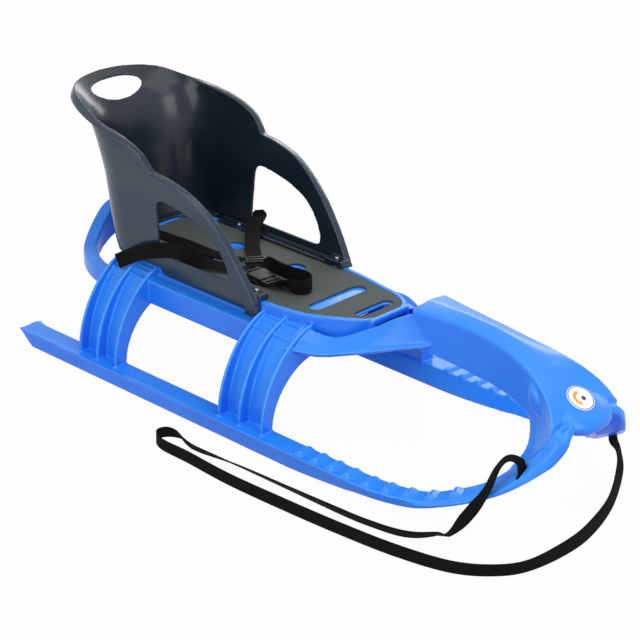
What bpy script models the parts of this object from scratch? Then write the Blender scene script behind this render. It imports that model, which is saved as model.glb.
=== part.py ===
"""A child's snow sledge: one moulded body on two runners, a seat shell and a lap belt.

X points forward, Y to the sledge's left and Z up, in metres.  Lengths along the sledge
are measured from a datum near its middle, and the parent empty moves the datum so that
the origin lies on the ground under the middle of the whole sledge.
"""

import math

import bmesh
import bpy
import numpy as np
from mathutils import Matrix, Vector

# Driving sizes of the body
DATUM_FORWARD = 0.0233
GAP = 0.0003
WALL = 0.004
HALF_WIDTH = 0.1834
LIP = 0.0026
RUNNER_WIDTH = 0.0354
RUNNER_HEIGHT = 0.0265
KEEL_SLOPE = 0.0116
SOLE_LIFT = 0.0008
TAIL_X = -0.4915
TURN_X = 0.200
NOSE_REACH = 0.275
NOSE_TUCK = 0.030
NOSE_HALF = 0.048

# Sizes of the deck, its mat and the legs
MAT_THICK = 0.003
DECK_RIM = 0.0075
DECK_REAR_X = -0.388
DECK_TIP_X = 0.096
LEDGE_HALF = 0.107
LEDGE_Z = 0.143
SKIRT_Z = 0.107
RIB_THICK = 0.004
WEB_THICK = 0.003
REAR_RIBS = (-0.3645, -0.3266, -0.2869)
FRONT_RIBS = (-0.0683, -0.0280, 0.0163)
LEG_CENTRE_Y = 0.069
LEG_CENTRE_Z = 0.030
LEG_POWER = 1.8

# Sizes of the seat shell
SHELL_WALL = 0.0038
SHELL_TURN_X = -0.345
SHELL_SKIRT_Z = 0.150
SHELL_FRONT_X = -0.0734
SHELL_POWER = 2.6

# Sizes of the small pieces
STRIP_WIDTH = 0.010
STRIP_THICK = 0.0026
STRIP_REAR_X = -0.440
STRIP_FRONT_X = 0.150
STRIP_SCREWS = (-0.400, -0.150, 0.090)
SCREW_SHANK = 0.0016
SCREW_HEAD = 0.0032
BADGE_RADIUS = 0.0200
BADGE_THICK = 0.0022
WEBBING = 0.0015
BELT_WIDTH = 0.022
BUCKLE_LENGTH = 0.030
BUCKLE_WIDTH = 0.030
BUCKLE_HEIGHT = 0.010
BUCKLE_WALL = 0.0018
BUCKLE_TURN = 174.0
BUCKLE_PLACE = (-0.1260, -0.0320, 0.1700)
SLIDER_PLACE = (-0.1767, 0.0045, 0.1735)
TOW_WIDTH = 0.0165
TOW_THICK = 0.0022

BLUE = (0.035, 0.26, 0.80)
NAVY = (0.030, 0.045, 0.062)
GREY = (0.105, 0.115, 0.110)
BLACK = (0.006, 0.006, 0.006)
STEEL = (0.42, 0.40, 0.37)
WHITE = (0.85, 0.85, 0.82)


def finish(name, colour, roughness, metallic=0.0):
    """Return a plain material."""
    made = bpy.data.materials.new(name)
    made.use_nodes = True
    shader = made.node_tree.nodes["Principled BSDF"]
    shader.inputs["Base Color"].default_value = (*colour, 1.0)
    shader.inputs["Roughness"].default_value = roughness
    shader.inputs["Metallic"].default_value = metallic
    return made


def through(knots, where):
    """Read a smooth curve without overshoot through (place, value) knots."""
    place, value = np.array(knots, dtype=float).T
    where = float(np.clip(where, place[0], place[-1]))
    slope = np.diff(value) / np.diff(place)
    tangent = np.zeros_like(value)
    tangent[0], tangent[-1] = slope[0], slope[-1]
    for i in range(1, len(value) - 1):
        if slope[i - 1] * slope[i] > 0:
            tangent[i] = 2 * slope[i - 1] * slope[i] / (slope[i - 1] + slope[i])
    i = int(np.clip(np.searchsorted(place, where) - 1, 0, len(slope) - 1))
    span = place[i + 1] - place[i]
    t = (where - place[i]) / span
    return float(
        value[i] * (1 + 2 * t) * (1 - t) ** 2
        + tangent[i] * span * t * (1 - t) ** 2
        + value[i + 1] * t * t * (3 - 2 * t)
        - tangent[i + 1] * span * t * t * (1 - t)
    )


def spread(start, end, count):
    """Return evenly spaced numbers from start to end."""
    return [float(v) for v in np.linspace(start, end, count)]


def flip(points):
    """Mirror points to the sledge's other side."""
    return [(x, -y, z) for x, y, z in points]


def solid(name, vertices, faces, smooth=35.0):
    """Make a closed mesh object with its faces pointing out."""
    mesh = bpy.data.meshes.new(name)
    mesh.from_pydata([tuple(v) for v in vertices], [], faces)
    edit = bmesh.new()
    edit.from_mesh(mesh)
    bmesh.ops.recalc_face_normals(edit, faces=edit.faces)
    bmesh.ops.triangulate(edit, faces=[f for f in edit.faces if len(f.verts) > 3])
    edit.to_mesh(mesh)
    edit.free()
    mesh.shade_smooth()
    mesh.set_sharp_from_angle(angle=math.radians(smooth))
    made = bpy.data.objects.new(name, mesh)
    bpy.context.collection.objects.link(made)
    made.parent = frame
    return made


def loft(name, rings, closed=False, smooth=35.0):
    """Make a closed solid through rings of points; closed joins the last ring to the first."""
    count = len(rings[0])
    vertices = [point for ring in rings for point in ring]
    faces = []
    for r in range(len(rings) if closed else len(rings) - 1):
        near, far = r * count, (r + 1) % len(rings) * count
        for i in range(count):
            j = (i + 1) % count
            faces.append((near + i, near + j, far + j, far + i))
    if not closed:
        faces.append(tuple(range(count)))
        faces.append(tuple(reversed(range(len(vertices) - count, len(vertices)))))
    return solid(name, vertices, faces, smooth)


def block(name, low, high):
    """Make a box between two corners."""
    (x0, y0, z0), (x1, y1, z1) = low, high
    rings = [[(x, y0, z0), (x, y1, z0), (x, y1, z1), (x, y0, z1)] for x in (x0, x1)]
    return loft(name, rings)


def rod(name, base, axis, profile, sides=16):
    """Turn (distance, radius) pairs round an axis from base; end radii must be above 0."""
    axis = Vector(axis).normalized()
    across = axis.orthogonal().normalized()
    other = axis.cross(across)
    rings = []
    for distance, radius in profile:
        centre = Vector(base) + axis * distance
        ring = []
        for i in range(sides):
            turn = math.tau * i / sides
            ring.append(tuple(centre + radius * (math.cos(turn) * across + math.sin(turn) * other)))
        rings.append(ring)
    return loft(name, rings, smooth=40.0)


def capsule(centre, length, width, count=7):
    """Return the outline of a slot with round ends, long along Y."""
    radius = width / 2
    run = length / 2 - radius
    points = []
    for sign in (1, -1):
        for i in range(count):
            turn = math.pi * i / (count - 1)
            points.append((centre[0] + sign * radius * math.cos(turn),
                           centre[1] + sign * (run + radius * math.sin(turn))))
    return points


def oval(centre, length, width, count=16):
    """Return the outline of an ellipse."""
    return [(centre[0] + length / 2 * math.cos(math.tau * i / count),
             centre[1] + width / 2 * math.sin(math.tau * i / count)) for i in range(count)]


def prism(name, outline, low, high):
    """Extrude a plan outline between two heights."""
    return loft(name, [[(x, y, low) for x, y in outline], [(x, y, high) for x, y in outline]])


def combine(target, others, operation="UNION"):
    """Join or cut the target with hidden solids."""
    for other in others:
        other.hide_render = True
        other.display_type = "WIRE"
        change = target.modifiers.new(other.name, "BOOLEAN")
        change.operation = operation
        change.solver = "EXACT"
        change.object = other
    return target


def hinge_at(target, place):
    """Move an object's origin to a place on its joint without moving its shape."""
    target.data.transform(Matrix.Translation(-Vector(place)))
    target.location = place
    return target


def paint(target, material):
    """Give an object its only material."""
    target.data.materials.clear()
    target.data.materials.append(material)
    return target


# The body's guiding curves

SOLE_RISE = ((TAIL_X, 0.0232), (-0.470, 0.0045), (-0.463, SOLE_LIFT), (0.060, SOLE_LIFT),
             (0.180, 0.0076), (TURN_X, 0.0105))
NOSE_RISE = ((0, 0.0105), (19, 0.018), (31, 0.033), (48, 0.061), (57, 0.0810), (60, 0.0880),
             (63, 0.0950), (66, 0.1020), (69, 0.1128), (72, 0.1245), (75, 0.1375), (82, 0.1440),
             (90, 0.1500))
RIM_RISE = ((0, 0.0265), (24, 0.032), (36, 0.044), (48, 0.062), (57, 0.0825), (60, 0.0900),
            (63, 0.1004), (66, 0.1135), (69, 0.1345), (71, 0.1420), (78, 0.1465), (90, 0.1560))
TUCK_SHARE = ((0, 0.0), (69, 0.0), (72, 0.05), (75, 0.23), (78, 0.43), (82, 0.67), (90, 1.0))
RIM_REACH = ((0, 0.243), (57, 0.243), (63, 0.247), (66, 0.2495), (70, 0.2543), (74, 0.2500),
             (82, 0.2440), (90, 0.2400))
BAND_WIDTH = ((0, RUNNER_WIDTH), (35, 0.032), (60, 0.036), (90, 0.044))
BAND_DROP = ((0, 0.0), (35, 0.001), (60, 0.012), (90, 0.022))
BUMPER_BULGE = ((0, 0.0004), (30, 0.003), (60, 0.006), (90, 0.007))

HOOD_CROWN = ((0.165, 0.2189), (0.239, 0.2178), (0.291, 0.2145), (0.337, 0.2078), (0.3857, 0.1945),
              (0.4110, 0.1815), (0.4280, 0.1668), (0.4374, 0.1613), (0.450, 0.150))
HOOD_EDGE = ((0.165, 0.2172), (0.2238, 0.2168), (0.2653, 0.2149), (0.3111, 0.2092), (0.3519, 0.2016),
             (0.3857, 0.1915), (0.4110, 0.1787), (0.4280, 0.1631), (0.4374, 0.1456))
HOOD_HALF = ((0.165, 0.0315), (0.1851, 0.0284), (0.2238, 0.0236), (0.2653, 0.0210), (0.3111, 0.0231),
             (0.3519, 0.0304), (0.3857, 0.0399), (0.4110, 0.0493), (0.4280, 0.0588), (0.4374, 0.0680))
HOOD_FOOT = ((0.165, 0.1645), (0.200, 0.1620), (0.220, 0.1595), (0.245, 0.1560), (0.270, 0.1535),
             (0.294, 0.1515), (0.330, 0.148), (0.360, 0.141), (0.383, 0.134), (0.410, 0.126),
             (0.450, 0.118))

MAT_HALF = ((DECK_REAR_X, 0.0765), (-0.100, 0.0775), (-0.070, 0.0775), (-0.015, 0.0715), (0.033, 0.0595),
            (0.062, 0.049), (0.080, 0.038), (0.088, 0.029))
DECK_TOP = ((DECK_REAR_X, 0.168), (-0.100, 0.169), (0.0, 0.1705), (0.060, 0.1765), (DECK_TIP_X, 0.178))


def runner_corners(x):
    """Return outer sole, rim, inner edge and keel of the straight runner."""
    rise = through(SOLE_RISE, x)
    return (
        Vector((x, HALF_WIDTH, rise)),
        Vector((x, HALF_WIDTH + LIP, RUNNER_HEIGHT)),
        Vector((x, HALF_WIDTH + LIP - RUNNER_WIDTH, RUNNER_HEIGHT)),
        Vector((x, HALF_WIDTH + LIP - RUNNER_WIDTH - KEEL_SLOPE, rise)),
    )


def bumper_corners(degrees):
    """Return the same four corners on the bumper, 0 where it leaves the runner, 90 at the nose."""
    turn = math.radians(degrees)
    rim_half = HALF_WIDTH + LIP
    reach = NOSE_REACH - NOSE_TUCK * through(TUCK_SHARE, degrees)
    rim_reach = through(RIM_REACH, degrees)
    outer = Vector((TURN_X + reach * math.sin(turn), HALF_WIDTH * math.cos(turn),
                    through(NOSE_RISE, degrees)))
    rim = Vector((TURN_X + rim_reach * math.sin(turn), rim_half * math.cos(turn),
                  through(RIM_RISE, degrees)))
    inward = Vector((-math.sin(turn) / rim_reach, -math.cos(turn) / rim_half, 0)).normalized()
    inner = rim + inward * through(BAND_WIDTH, degrees)
    inner.z -= through(BAND_DROP, degrees)
    keel = inner + (outer - rim) + inward * (KEEL_SLOPE - LIP) * math.cos(turn)
    inner.y, keel.y = max(inner.y, 0.0), max(keel.y, 0.0)
    return outer, rim, inner, keel


def runner_ring(corners, bulge):
    """Return the runner's section: rounded sole edge, wall, lip, top band and keel."""
    outer, rim, inner, keel = corners
    up = (rim - outer).normalized()
    under = (keel - outer).normalized()
    across = (inner - rim).normalized()
    down = (keel - inner).normalized()
    height = (rim - outer).length
    swell = up.cross(under).cross(up).normalized() * -bulge
    lip = min(0.006, 0.4 * height)
    points = [
        outer + under * 0.0035,
        outer + up * min(0.003, 0.3 * height),
        (outer + rim) / 2 + swell + across * 0.4 * LIP,
        rim - up * lip + across * 0.8 * LIP + swell * 0.6,
        rim - up * 0.6 * lip,
        rim - up * 0.1 * lip,
        rim + across * 0.0018,
        inner - across * 0.0015,
        inner + down * min(0.0015, 0.3 * height),
        keel,
    ]
    return [tuple(p) for p in points]


def runner_frame():
    """Both runners and the bumper as one bent bar, from tail round the nose to tail."""
    half = []
    for x in (TAIL_X, -0.481, -0.470, -0.463, -0.300, -0.100, 0.060, 0.100, 0.140, 0.175):
        half.append(runner_ring(runner_corners(x), 0.0))
    for degrees in (0, 6, 12, 18, 24, 30, 36, 42, 48, 53, 58, 63, 68, 73, 79, 85):
        half.append(runner_ring(bumper_corners(degrees), through(BUMPER_BULGE, degrees)))
    rings = [flip(ring) for ring in half]
    rings += reversed(half)
    return loft("runner_frame", rings)


def hood_ring(x):
    """Return the bonnet's open-bottomed section at one place along the sledge."""
    half, edge = through(HOOD_HALF, x), through(HOOD_EDGE, x)
    crown, foot = through(HOOD_CROWN, x), through(HOOD_FOOT, x)
    outer = [(half + 0.0015, foot), (half, edge - 0.004), (half - 0.0015, edge - 0.0012),
             (half - 0.005, edge), (half * 0.5, edge + 0.8 * (crown - edge))]
    inner = [(half - WALL, foot), (half - WALL, edge - 0.009), (half * 0.5, edge - 0.007)]
    right = [(x, -y, z) for y, z in outer]
    left = [(x, y, z) for y, z in reversed(outer)]
    inside_left = [(x, y, z) for y, z in inner]
    inside_right = [(x, -y, z) for y, z in reversed(inner)]
    return right + [(x, 0.0, crown)] + left + inside_left + inside_right


def hood():
    """The bonnet from the deck's tip to the nose, with a valley open below."""
    return loft("hood", [hood_ring(x) for x in spread(0.165, 0.437, 18)])


def nose():
    """The round tongue that hangs over the bumper's middle and carries the badge."""
    profile = ((0.375, 0.1970), (0.402, 0.1835), (0.428, 0.1683), (0.449, 0.1560), (0.4580, 0.1495),
               (0.4635, 0.1420), (0.4640, 0.1350), (0.4600, 0.1300), (0.4500, 0.1285), (0.420, 0.1340),
               (0.375, 0.160))
    middle_x, middle_z = 0.400, 0.152
    rings = []
    for share in (-1.0, -0.93, -0.8, -0.6, -0.4, -0.2, 0.0, 0.2, 0.4, 0.6, 0.8, 0.93, 1.0):
        size = (1 - 0.93 * abs(share) ** 2.6) ** 0.45
        rings.append([(middle_x + (x - middle_x) * (0.35 + 0.65 * size),
                       NOSE_HALF * share,
                       middle_z + (z - middle_z) * (0.25 + 0.75 * size)) for x, z in profile])
    return loft("nose", rings)


def leg_curve(across, up, start, end, count):
    """Return (y, z) points on a leg's bow; 0 degrees is at the runner, 90 under the deck."""
    points = []
    for degrees in spread(start, end, count):
        turn = math.radians(degrees)
        points.append((LEG_CENTRE_Y + across * math.cos(turn) ** (2 / LEG_POWER),
                       LEG_CENTRE_Z + up * math.sin(turn) ** (2 / LEG_POWER)))
    return points


def leg(name, ribs, side):
    """A bowed web with three outer ribs, from the runner's top to the deck."""
    foot_z = RUNNER_HEIGHT - 0.004
    parts = []
    for n, x in enumerate(ribs):
        outer = leg_curve(0.105, 0.132, 0, 86, 12)
        inner = leg_curve(0.083, 0.085, 86, 0, 9)
        outline = [(outer[0][0], foot_z)] + outer + inner + [(inner[-1][0], foot_z)]
        rings = [[(px, side * y, z) for y, z in outline] for px in (x - RIB_THICK / 2, x + RIB_THICK / 2)]
        parts.append(loft(f"{name}_rib_{n}", rings))
    outer = leg_curve(0.088, 0.125, 0, 86, 12)
    inner = leg_curve(0.088 - WEB_THICK, 0.125 - WEB_THICK, 86, 0, 12)
    outline = [(outer[0][0], foot_z)] + outer + inner + [(inner[-1][0], foot_z)]
    rings = [[(x, side * y, z) for y, z in outline] for x in (ribs[0], ribs[-1])]
    parts.append(loft(f"{name}_web", rings))
    low, high = sorted((side * 0.0760, side * 0.0900))
    parts.append(block(f"{name}_shoulder", (ribs[0], low, LEDGE_Z - 0.0015), (ribs[-1], high, 0.1525)))
    low, high = sorted((side * 0.0890, side * 0.0965))
    parts.append(block(f"{name}_fillet", (ribs[0], low, LEDGE_Z - 0.0015), (ribs[-1], high, 0.1490)))
    return parts


def deck_half(x):
    """Return half of the deck's width, with rounded rear corners."""
    rear = (SHELL_TURN_X - x) / (SHELL_TURN_X - DECK_REAR_X + 0.004)
    round_off = (1 - max(rear, 0.0) ** SHELL_POWER) ** (1 / SHELL_POWER)
    return (through(MAT_HALF, x) + DECK_RIM) * round_off


def deck():
    """The seat's tray, open below."""
    stations = [DECK_REAR_X, -0.386, -0.380, -0.370, SHELL_TURN_X, -0.200, -0.070, -0.040, -0.015]
    stations += [0.010, 0.033, 0.050, 0.062, 0.075, 0.086, DECK_TIP_X]
    rings = []
    for x in stations:
        half = deck_half(x)
        top = through(DECK_TOP, x) + 0.0015
        right = [(-half + WALL, LEDGE_Z - WALL), (-half, LEDGE_Z - WALL), (-half, top - 0.0015),
                 (-half + 0.0015, top)]
        left = [(-y, z) for y, z in reversed(right)]
        rings.append([(x, y, z) for y, z in right + left + [(half - WALL, top - 0.009),
                                                            (-half + WALL, top - 0.009)]])
    tray = loft("deck", rings)
    rear = deck_half(DECK_REAR_X)
    wall = block("deck_rear_wall", (DECK_REAR_X, -rear + 0.001, LEDGE_Z - WALL + 0.0005),
                 (DECK_REAR_X + WALL, rear - 0.001, 0.163))
    return [tray, wall]


def side_rail(side):
    """The ledge beside the deck and the skirt below it, between and past the legs."""
    inner = DECK_LEDGE_IN
    section = [(inner, LEDGE_Z - WALL + 0.0005), (inner, LEDGE_Z), (LEDGE_HALF - 0.0025, LEDGE_Z),
               (LEDGE_HALF, LEDGE_Z - 0.0025), (LEDGE_HALF, SKIRT_Z), (LEDGE_HALF - WALL, SKIRT_Z),
               (LEDGE_HALF - WALL, LEDGE_Z - WALL + 0.0005)]
    rings = []
    for x in (REAR_RIBS[0] - 0.001, -0.200, FRONT_RIBS[-1] + 0.001):
        rings.append([(x, side * y, z + 0.002 * (x - REAR_RIBS[0])) for y, z in section])
    return loft(f"side_rail_{side}", rings)


DECK_LEDGE_IN = 0.0805

RAIL_TOP_Y = ((0.005, 0.083), (0.047, 0.071), (0.105, 0.052), (0.145, 0.040), (0.175, 0.0300))
RAIL_TOP_Z = ((0.005, 0.159), (0.047, 0.153), (0.105, 0.177), (0.145, 0.202), (0.175, 0.2170))
RAIL_LOW_Y = ((0.005, 0.1185), (0.045, 0.105), (0.0998, 0.080), (0.159, 0.050), (0.201, 0.0275))
RAIL_LOW_Z = ((0.005, 0.133), (0.045, 0.134), (0.0998, 0.145), (0.159, 0.161), (0.201, 0.1725))


def front_rail(side):
    """The twisting band from the front leg's shoulder to the bonnet's flank, beaded below."""
    rings = []
    for share in spread(0, 1, 12):
        top_x = 0.005 + share * (0.175 - 0.005)
        low_x = 0.005 + share * (0.201 - 0.005)
        top = Vector((top_x, through(RAIL_TOP_Y, top_x), through(RAIL_TOP_Z, top_x)))
        low = Vector((low_x, through(RAIL_LOW_Y, low_x), through(RAIL_LOW_Z, low_x)))
        down = (low - top).normalized()
        along = Vector((1, -0.4, 0.15)).normalized()
        out = down.cross(along).normalized()
        if out.y < 0:
            out = -out
        points = [top, (top + low) / 2 + out * 0.003 * (1 - share), low - down * 0.006,
                  low - down * 0.004 + out * 0.002, low - down * 0.001 + out * 0.002, low,
                  low - out * WALL, top - out * WALL + down * 0.001]
        rings.append([(p.x, side * p.y, p.z) for p in points])
    return loft(f"front_rail_{side}", rings)


def front_floor():
    """The web that joins both front rails below the deck's tip."""
    rings = []
    for x in spread(0.010, 0.188, 9):
        half = through(RAIL_LOW_Y, x) - 0.002
        low = through(RAIL_LOW_Z, x) + 0.0015
        rings.append([(x, -half, low), (x, half, low), (x, half - 0.004, low + WALL),
                      (x, -half + 0.004, low + WALL)])
    return loft("front_floor", rings)


def handle():
    """The rear grab handle: a bent bar that humps up behind the shell."""
    route = ((0.1190, -0.350, 0.133), (0.1130, -0.394, 0.134), (0.1000, -0.430, 0.135),
             (0.0810, -0.459, 0.138), (0.0600, -0.474, 0.150), (0.0400, -0.481, 0.166),
             (0.0200, -0.485, 0.180), (0.0, -0.487, 0.185))
    route = route + tuple((-y, x, z) for y, x, z in reversed(route[:-1]))
    centre = [Vector((x, y, z)) for y, x, z in route]
    rings = []
    for i, point in enumerate(centre):
        along = centre[min(i + 1, len(centre) - 1)] - centre[max(i - 1, 0)]
        along.z = 0
        out = along.cross(Vector((0, 0, 1))).normalized()
        if out.dot(Vector((point.x + 0.38, point.y, 0))) < 0:
            out = -out
        width, height = 0.021, 0.026 + 0.5 * max(point.z - 0.138, 0)
        outline = [(0.0, -0.005), (0.0, -height + 0.002), (-0.002, -height), (-width + 0.002, -height),
                   (-width, -height + 0.002), (-width, -0.002), (-width + 0.002, 0.0), (-0.006, 0.0)]
        rings.append([tuple(point + out * a + Vector((0, 0, b))) for a, b in outline])
    return loft("handle", rings)


def foot_ridges():
    """Low bars across the runners' tops, where the feet stand."""
    parts = []
    stations = [("run", x) for x in (0.095, 0.122, 0.154, 0.183)]
    stations += [("turn", degrees) for degrees in (4, 11, 18, 25, 32)]
    for n, (kind, place) in enumerate(stations):
        corners = runner_corners(place) if kind == "run" else bumper_corners(place)
        rim, inner = corners[1], corners[2]
        across = (inner - rim).normalized()
        along = Vector((0, 0, 1)).cross(across).normalized()
        normal = across.cross(along).normalized()
        if normal.z < 0:
            normal = -normal
        tall = 0.0028
        half_ring = []
        for reach in (0.0035, (inner - rim).length - 0.003):
            at = rim + across * reach
            half_ring.append([tuple(at + along * a + normal * b) for a, b in
                              ((-0.005, -0.002), (-0.0045, 0.0004), (-0.002, tall), (0.002, tall),
                               (0.0045, 0.0004), (0.005, -0.002))])
        parts.append(loft(f"ridge_left_{n}", half_ring))
        parts.append(loft(f"ridge_right_{n}", [flip(ring) for ring in half_ring]))
    return parts


def strip_y():
    """Return the middle line of a steel strip under the runner."""
    return HALF_WIDTH + LIP - RUNNER_WIDTH - KEEL_SLOPE + STRIP_WIDTH / 2 + 0.003


def strip_rings(side, spare):
    """Return the sections of a steel strip, or of its groove with some to spare."""
    rings = []
    half = STRIP_WIDTH / 2 + spare
    for x in (STRIP_REAR_X - spare, -0.300, 0.060, 0.105, STRIP_FRONT_X + spare):
        low = through(SOLE_RISE, x) - SOLE_LIFT - (0.002 if spare else 0.0)
        high = through(SOLE_RISE, x) - SOLE_LIFT + STRIP_THICK + spare
        y = side * strip_y()
        rings.append([(x, y - half, low), (x, y + half, low), (x, y + half, high), (x, y - half, high)])
    return rings


def badge_frame():
    """Return the badge's centre on the nose and the way it faces."""
    slope = math.atan2(0.1683 - 0.1560, 0.449 - 0.428)
    normal = Vector((math.sin(slope), 0, math.cos(slope)))
    centre = Vector((0.4300, 0, 0.1672))
    return centre, normal


SLOTS = (((-0.007, 0.0), 0.106, 0.024), ((0.063, 0.0), 0.068, 0.019))
OVALS = ((-0.1257, 0.0364), (-0.2465, 0.0318))
OVAL_LENGTH = 0.030
OVAL_WIDTH = 0.025
STRAP_SLOT = ((0.4140, 0.0930), 0.023, 0.006)
SLOT_X, SLOT_Y = STRAP_SLOT[0]
STOP_LENGTH = 0.0216
STOP_WIDTH = 0.0090
STOP_HEIGHT = 0.0045
STOP_SPARE = 0.0014
STOP_BELOW = 0.0725
STOP_ABOVE = 0.0831


def mat_outline(spare):
    """Return half widths of the mat along the deck, grown by some to spare."""
    stations = (DECK_REAR_X + 0.006, -0.376, SHELL_TURN_X, -0.200, -0.070, -0.040, -0.015, 0.010, 0.033,
                0.050, 0.062, 0.075, 0.083, 0.088)
    return [(x, deck_half(x) - DECK_RIM + spare) for x in stations]


def mat_solid(name, spare, low, high):
    """A sheet over the deck between two heights above its seat."""
    rings = []
    outline = mat_outline(spare)
    outline[0] = (outline[0][0] - spare, outline[0][1])
    outline[-1] = (outline[-1][0] + spare, outline[-1][1])
    for x, half in outline:
        top = through(DECK_TOP, x)
        rings.append([(x, -half, top + low), (x, half, top + low), (x, half, top + high),
                      (x, -half, top + high)])
    return loft(name, rings)


def oval_places():
    """Return the centres of the four finger pockets."""
    return [(x, side * y) for x, y in OVALS for side in (-1, 1)]


def sled_body():
    """The one moulded body with its runners, legs, deck, rails, bonnet, nose and handle."""
    body = runner_frame()
    body.name = "sled_body"
    parts = deck() + [hood(), nose(), handle(), front_floor()]
    for side in (-1, 1):
        parts += leg(f"rear_leg_{side}", REAR_RIBS, side)
        parts += leg(f"front_leg_{side}", FRONT_RIBS, side)
        parts += [side_rail(side), front_rail(side)]
    parts += foot_ridges()
    combine(body, parts)
    cutters = [mat_solid("mat_seat", GAP, -MAT_THICK, 0.010)]
    for n, (centre, length, width) in enumerate(SLOTS):
        cutters.append(prism(f"pocket_{n}", capsule(centre, length - 0.005, width - 0.005), 0.1665, 0.190))
    for n, centre in enumerate(oval_places()):
        cutters.append(prism(f"finger_pocket_{n}", oval(centre, OVAL_LENGTH - 0.004, OVAL_WIDTH - 0.004),
                             0.1635, 0.190))
    for side in (-1, 1):
        (x, y), length, width = STRAP_SLOT
        cutters.append(prism(f"strap_slot_{side}", capsule((x, side * y), length, width), 0.050, 0.130))
        low, high = (0.045, STOP_BELOW + STOP_HEIGHT + GAP) if side < 0 else (STOP_ABOVE - GAP, 0.140)
        wide, deep = STOP_LENGTH / 2 + STOP_SPARE, STOP_WIDTH / 2 + STOP_SPARE
        cutters.append(block(f"stop_pocket_{side}", (x - deep, side * y - wide, low),
                             (x + deep, side * y + wide, high)))
        cutters.append(loft(f"strip_groove_{side}", strip_rings(side, GAP)))
        for n, place in enumerate(STRIP_SCREWS):
            low = through(SOLE_RISE, place) - 0.001
            cutters.append(rod(f"pilot_{side}_{n}", (place, side * strip_y(), low), (0, 0, 1),
                               ((0.0, SCREW_SHANK + GAP), (0.0145, SCREW_SHANK + GAP)), 12))
        for n, x in enumerate(SHELL_SCREWS):
            cutters.append(rod(f"shell_pilot_{side}_{n}", (x, side * SHELL_SCREW_Y, LEDGE_Z), (0, 0, 1),
                               ((0.0, SCREW_SHANK + GAP), (0.04, SCREW_SHANK + GAP)), 12))
    centre, normal = badge_frame()
    cutters.append(rod("badge_seat", centre - normal * BADGE_THICK, normal,
                       ((0.0, BADGE_RADIUS + GAP), (0.02, BADGE_RADIUS + GAP)), 40))
    combine(body, cutters, "DIFFERENCE")
    merge = body.modifiers.new("merge flat faces", "DECIMATE")
    merge.decimate_type = "DISSOLVE"
    merge.angle_limit = math.radians(0.5)
    return paint(body, BODY_BLUE)


# The seat shell's guiding curves

BACK_LEAN = ((SHELL_SKIRT_Z, -0.396), (0.190, -0.412), (0.240, -0.419), (0.294, -0.426), (0.335, -0.438),
             (0.357, -0.455), (0.371, -0.480), (0.380, -0.507))
SHELL_HALF = ((SHELL_SKIRT_Z, 0.0895), (0.200, 0.0940), (0.270, 0.1000), (0.316, 0.1080), (0.350, 0.1120),
              (0.381, 0.1120))
SIDE_RIM = ((SHELL_TURN_X, 0.3585), (-0.3205, 0.353), (-0.288, 0.340), (-0.273, 0.325), (-0.266, 0.3165),
            (-0.244, 0.314), (-0.202, 0.3045), (-0.168, 0.287), (-0.133, 0.257), (-0.110, 0.228),
            (-0.090, 0.198), (SHELL_FRONT_X, 0.168))
BACK_RIM = ((0, 0.380), (40, 0.3775), (60, 0.3710), (75, 0.3645), (90, 0.3585))
SHELL_SKIRT = ((SHELL_TURN_X, 0.1600), (-0.2775, 0.1600), (-0.2690, SHELL_SKIRT_Z), (SHELL_FRONT_X, SHELL_SKIRT_Z))
RIM_ROLL = 0.009
WINDOW = ((-0.271, 0.2620), (-0.266, 0.2690), (-0.256, 0.2710), (-0.217, 0.2655), (-0.178, 0.2535),
          (-0.153, 0.2360), (-0.137, 0.2130), (-0.1305, 0.1925), (-0.134, 0.1860), (-0.165, 0.1845),
          (-0.266, 0.1850), (-0.2735, 0.1920))


def shell_point(column, height):
    """Return a point of the shell's outer face; columns run 0 to 90 round the back, then forward in x."""
    kind, place = column
    half = through(SHELL_HALF, height)
    if kind == "side":
        return Vector((place, half, height))
    back = through(BACK_LEAN, height)
    turn = math.radians(place)
    x = SHELL_TURN_X - (SHELL_TURN_X - back) * math.cos(turn) ** (2 / SHELL_POWER)
    return Vector((x, half * math.sin(turn) ** (2 / SHELL_POWER), height))


def shell_half_columns():
    """Return columns from the middle of the back to the wing's front tip."""
    columns = [("back", d) for d in (0, 12, 24, 36, 46, 55, 64, 73, 82)]
    columns += [("side", x) for x in (SHELL_TURN_X, -0.330, -0.310, -0.290, -0.278, -0.270, -0.262, -0.240,
                                      -0.215, -0.190, -0.165, -0.140, -0.120, -0.102, -0.088, SHELL_FRONT_X)]
    return columns


def rim_height(column):
    """Return the height of the shell's rim above the ground."""
    kind, place = column
    return through(SIDE_RIM, place) if kind == "side" else through(BACK_RIM, place)


def skirt_height(column):
    """Return the height of the shell's lower edge, raised over the rear legs and the back."""
    kind, place = column
    return through(SHELL_SKIRT, place) if kind == "side" else SHELL_SKIRT[0][1]


def shell_column(column, before, after):
    """Return one closed upright section of the wall with its rolled rim."""
    low, top = skirt_height(column), rim_height(column)
    rows = 9
    outer, inner = [], []
    for row in range(rows):
        height = low + (top - low) * (row / (rows - 1)) ** 0.8
        point = shell_point(column, height)
        along = (shell_point(after, height) - shell_point(before, height)).normalized()
        up = (shell_point(column, height + 0.002) - shell_point(column, height - 0.002)).normalized()
        out = up.cross(along).normalized()
        outer.append(point)
        inner.append(point - out * SHELL_WALL)
    roll = [outer[-1] + out * RIM_ROLL * 0.2 - up * 0.0030,
            outer[-1] + out * RIM_ROLL * 0.7 - up * 0.0045,
            outer[-1] + out * RIM_ROLL - up * 0.0035,
            outer[-1] + out * RIM_ROLL * 0.9 - up * 0.0008,
            outer[-1] + out * RIM_ROLL * 0.45 + up * 0.0004]
    return [tuple(p) for p in outer[:-2] + [outer[-2].lerp(outer[-1], 0.6)] + roll + list(reversed(inner))]


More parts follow.
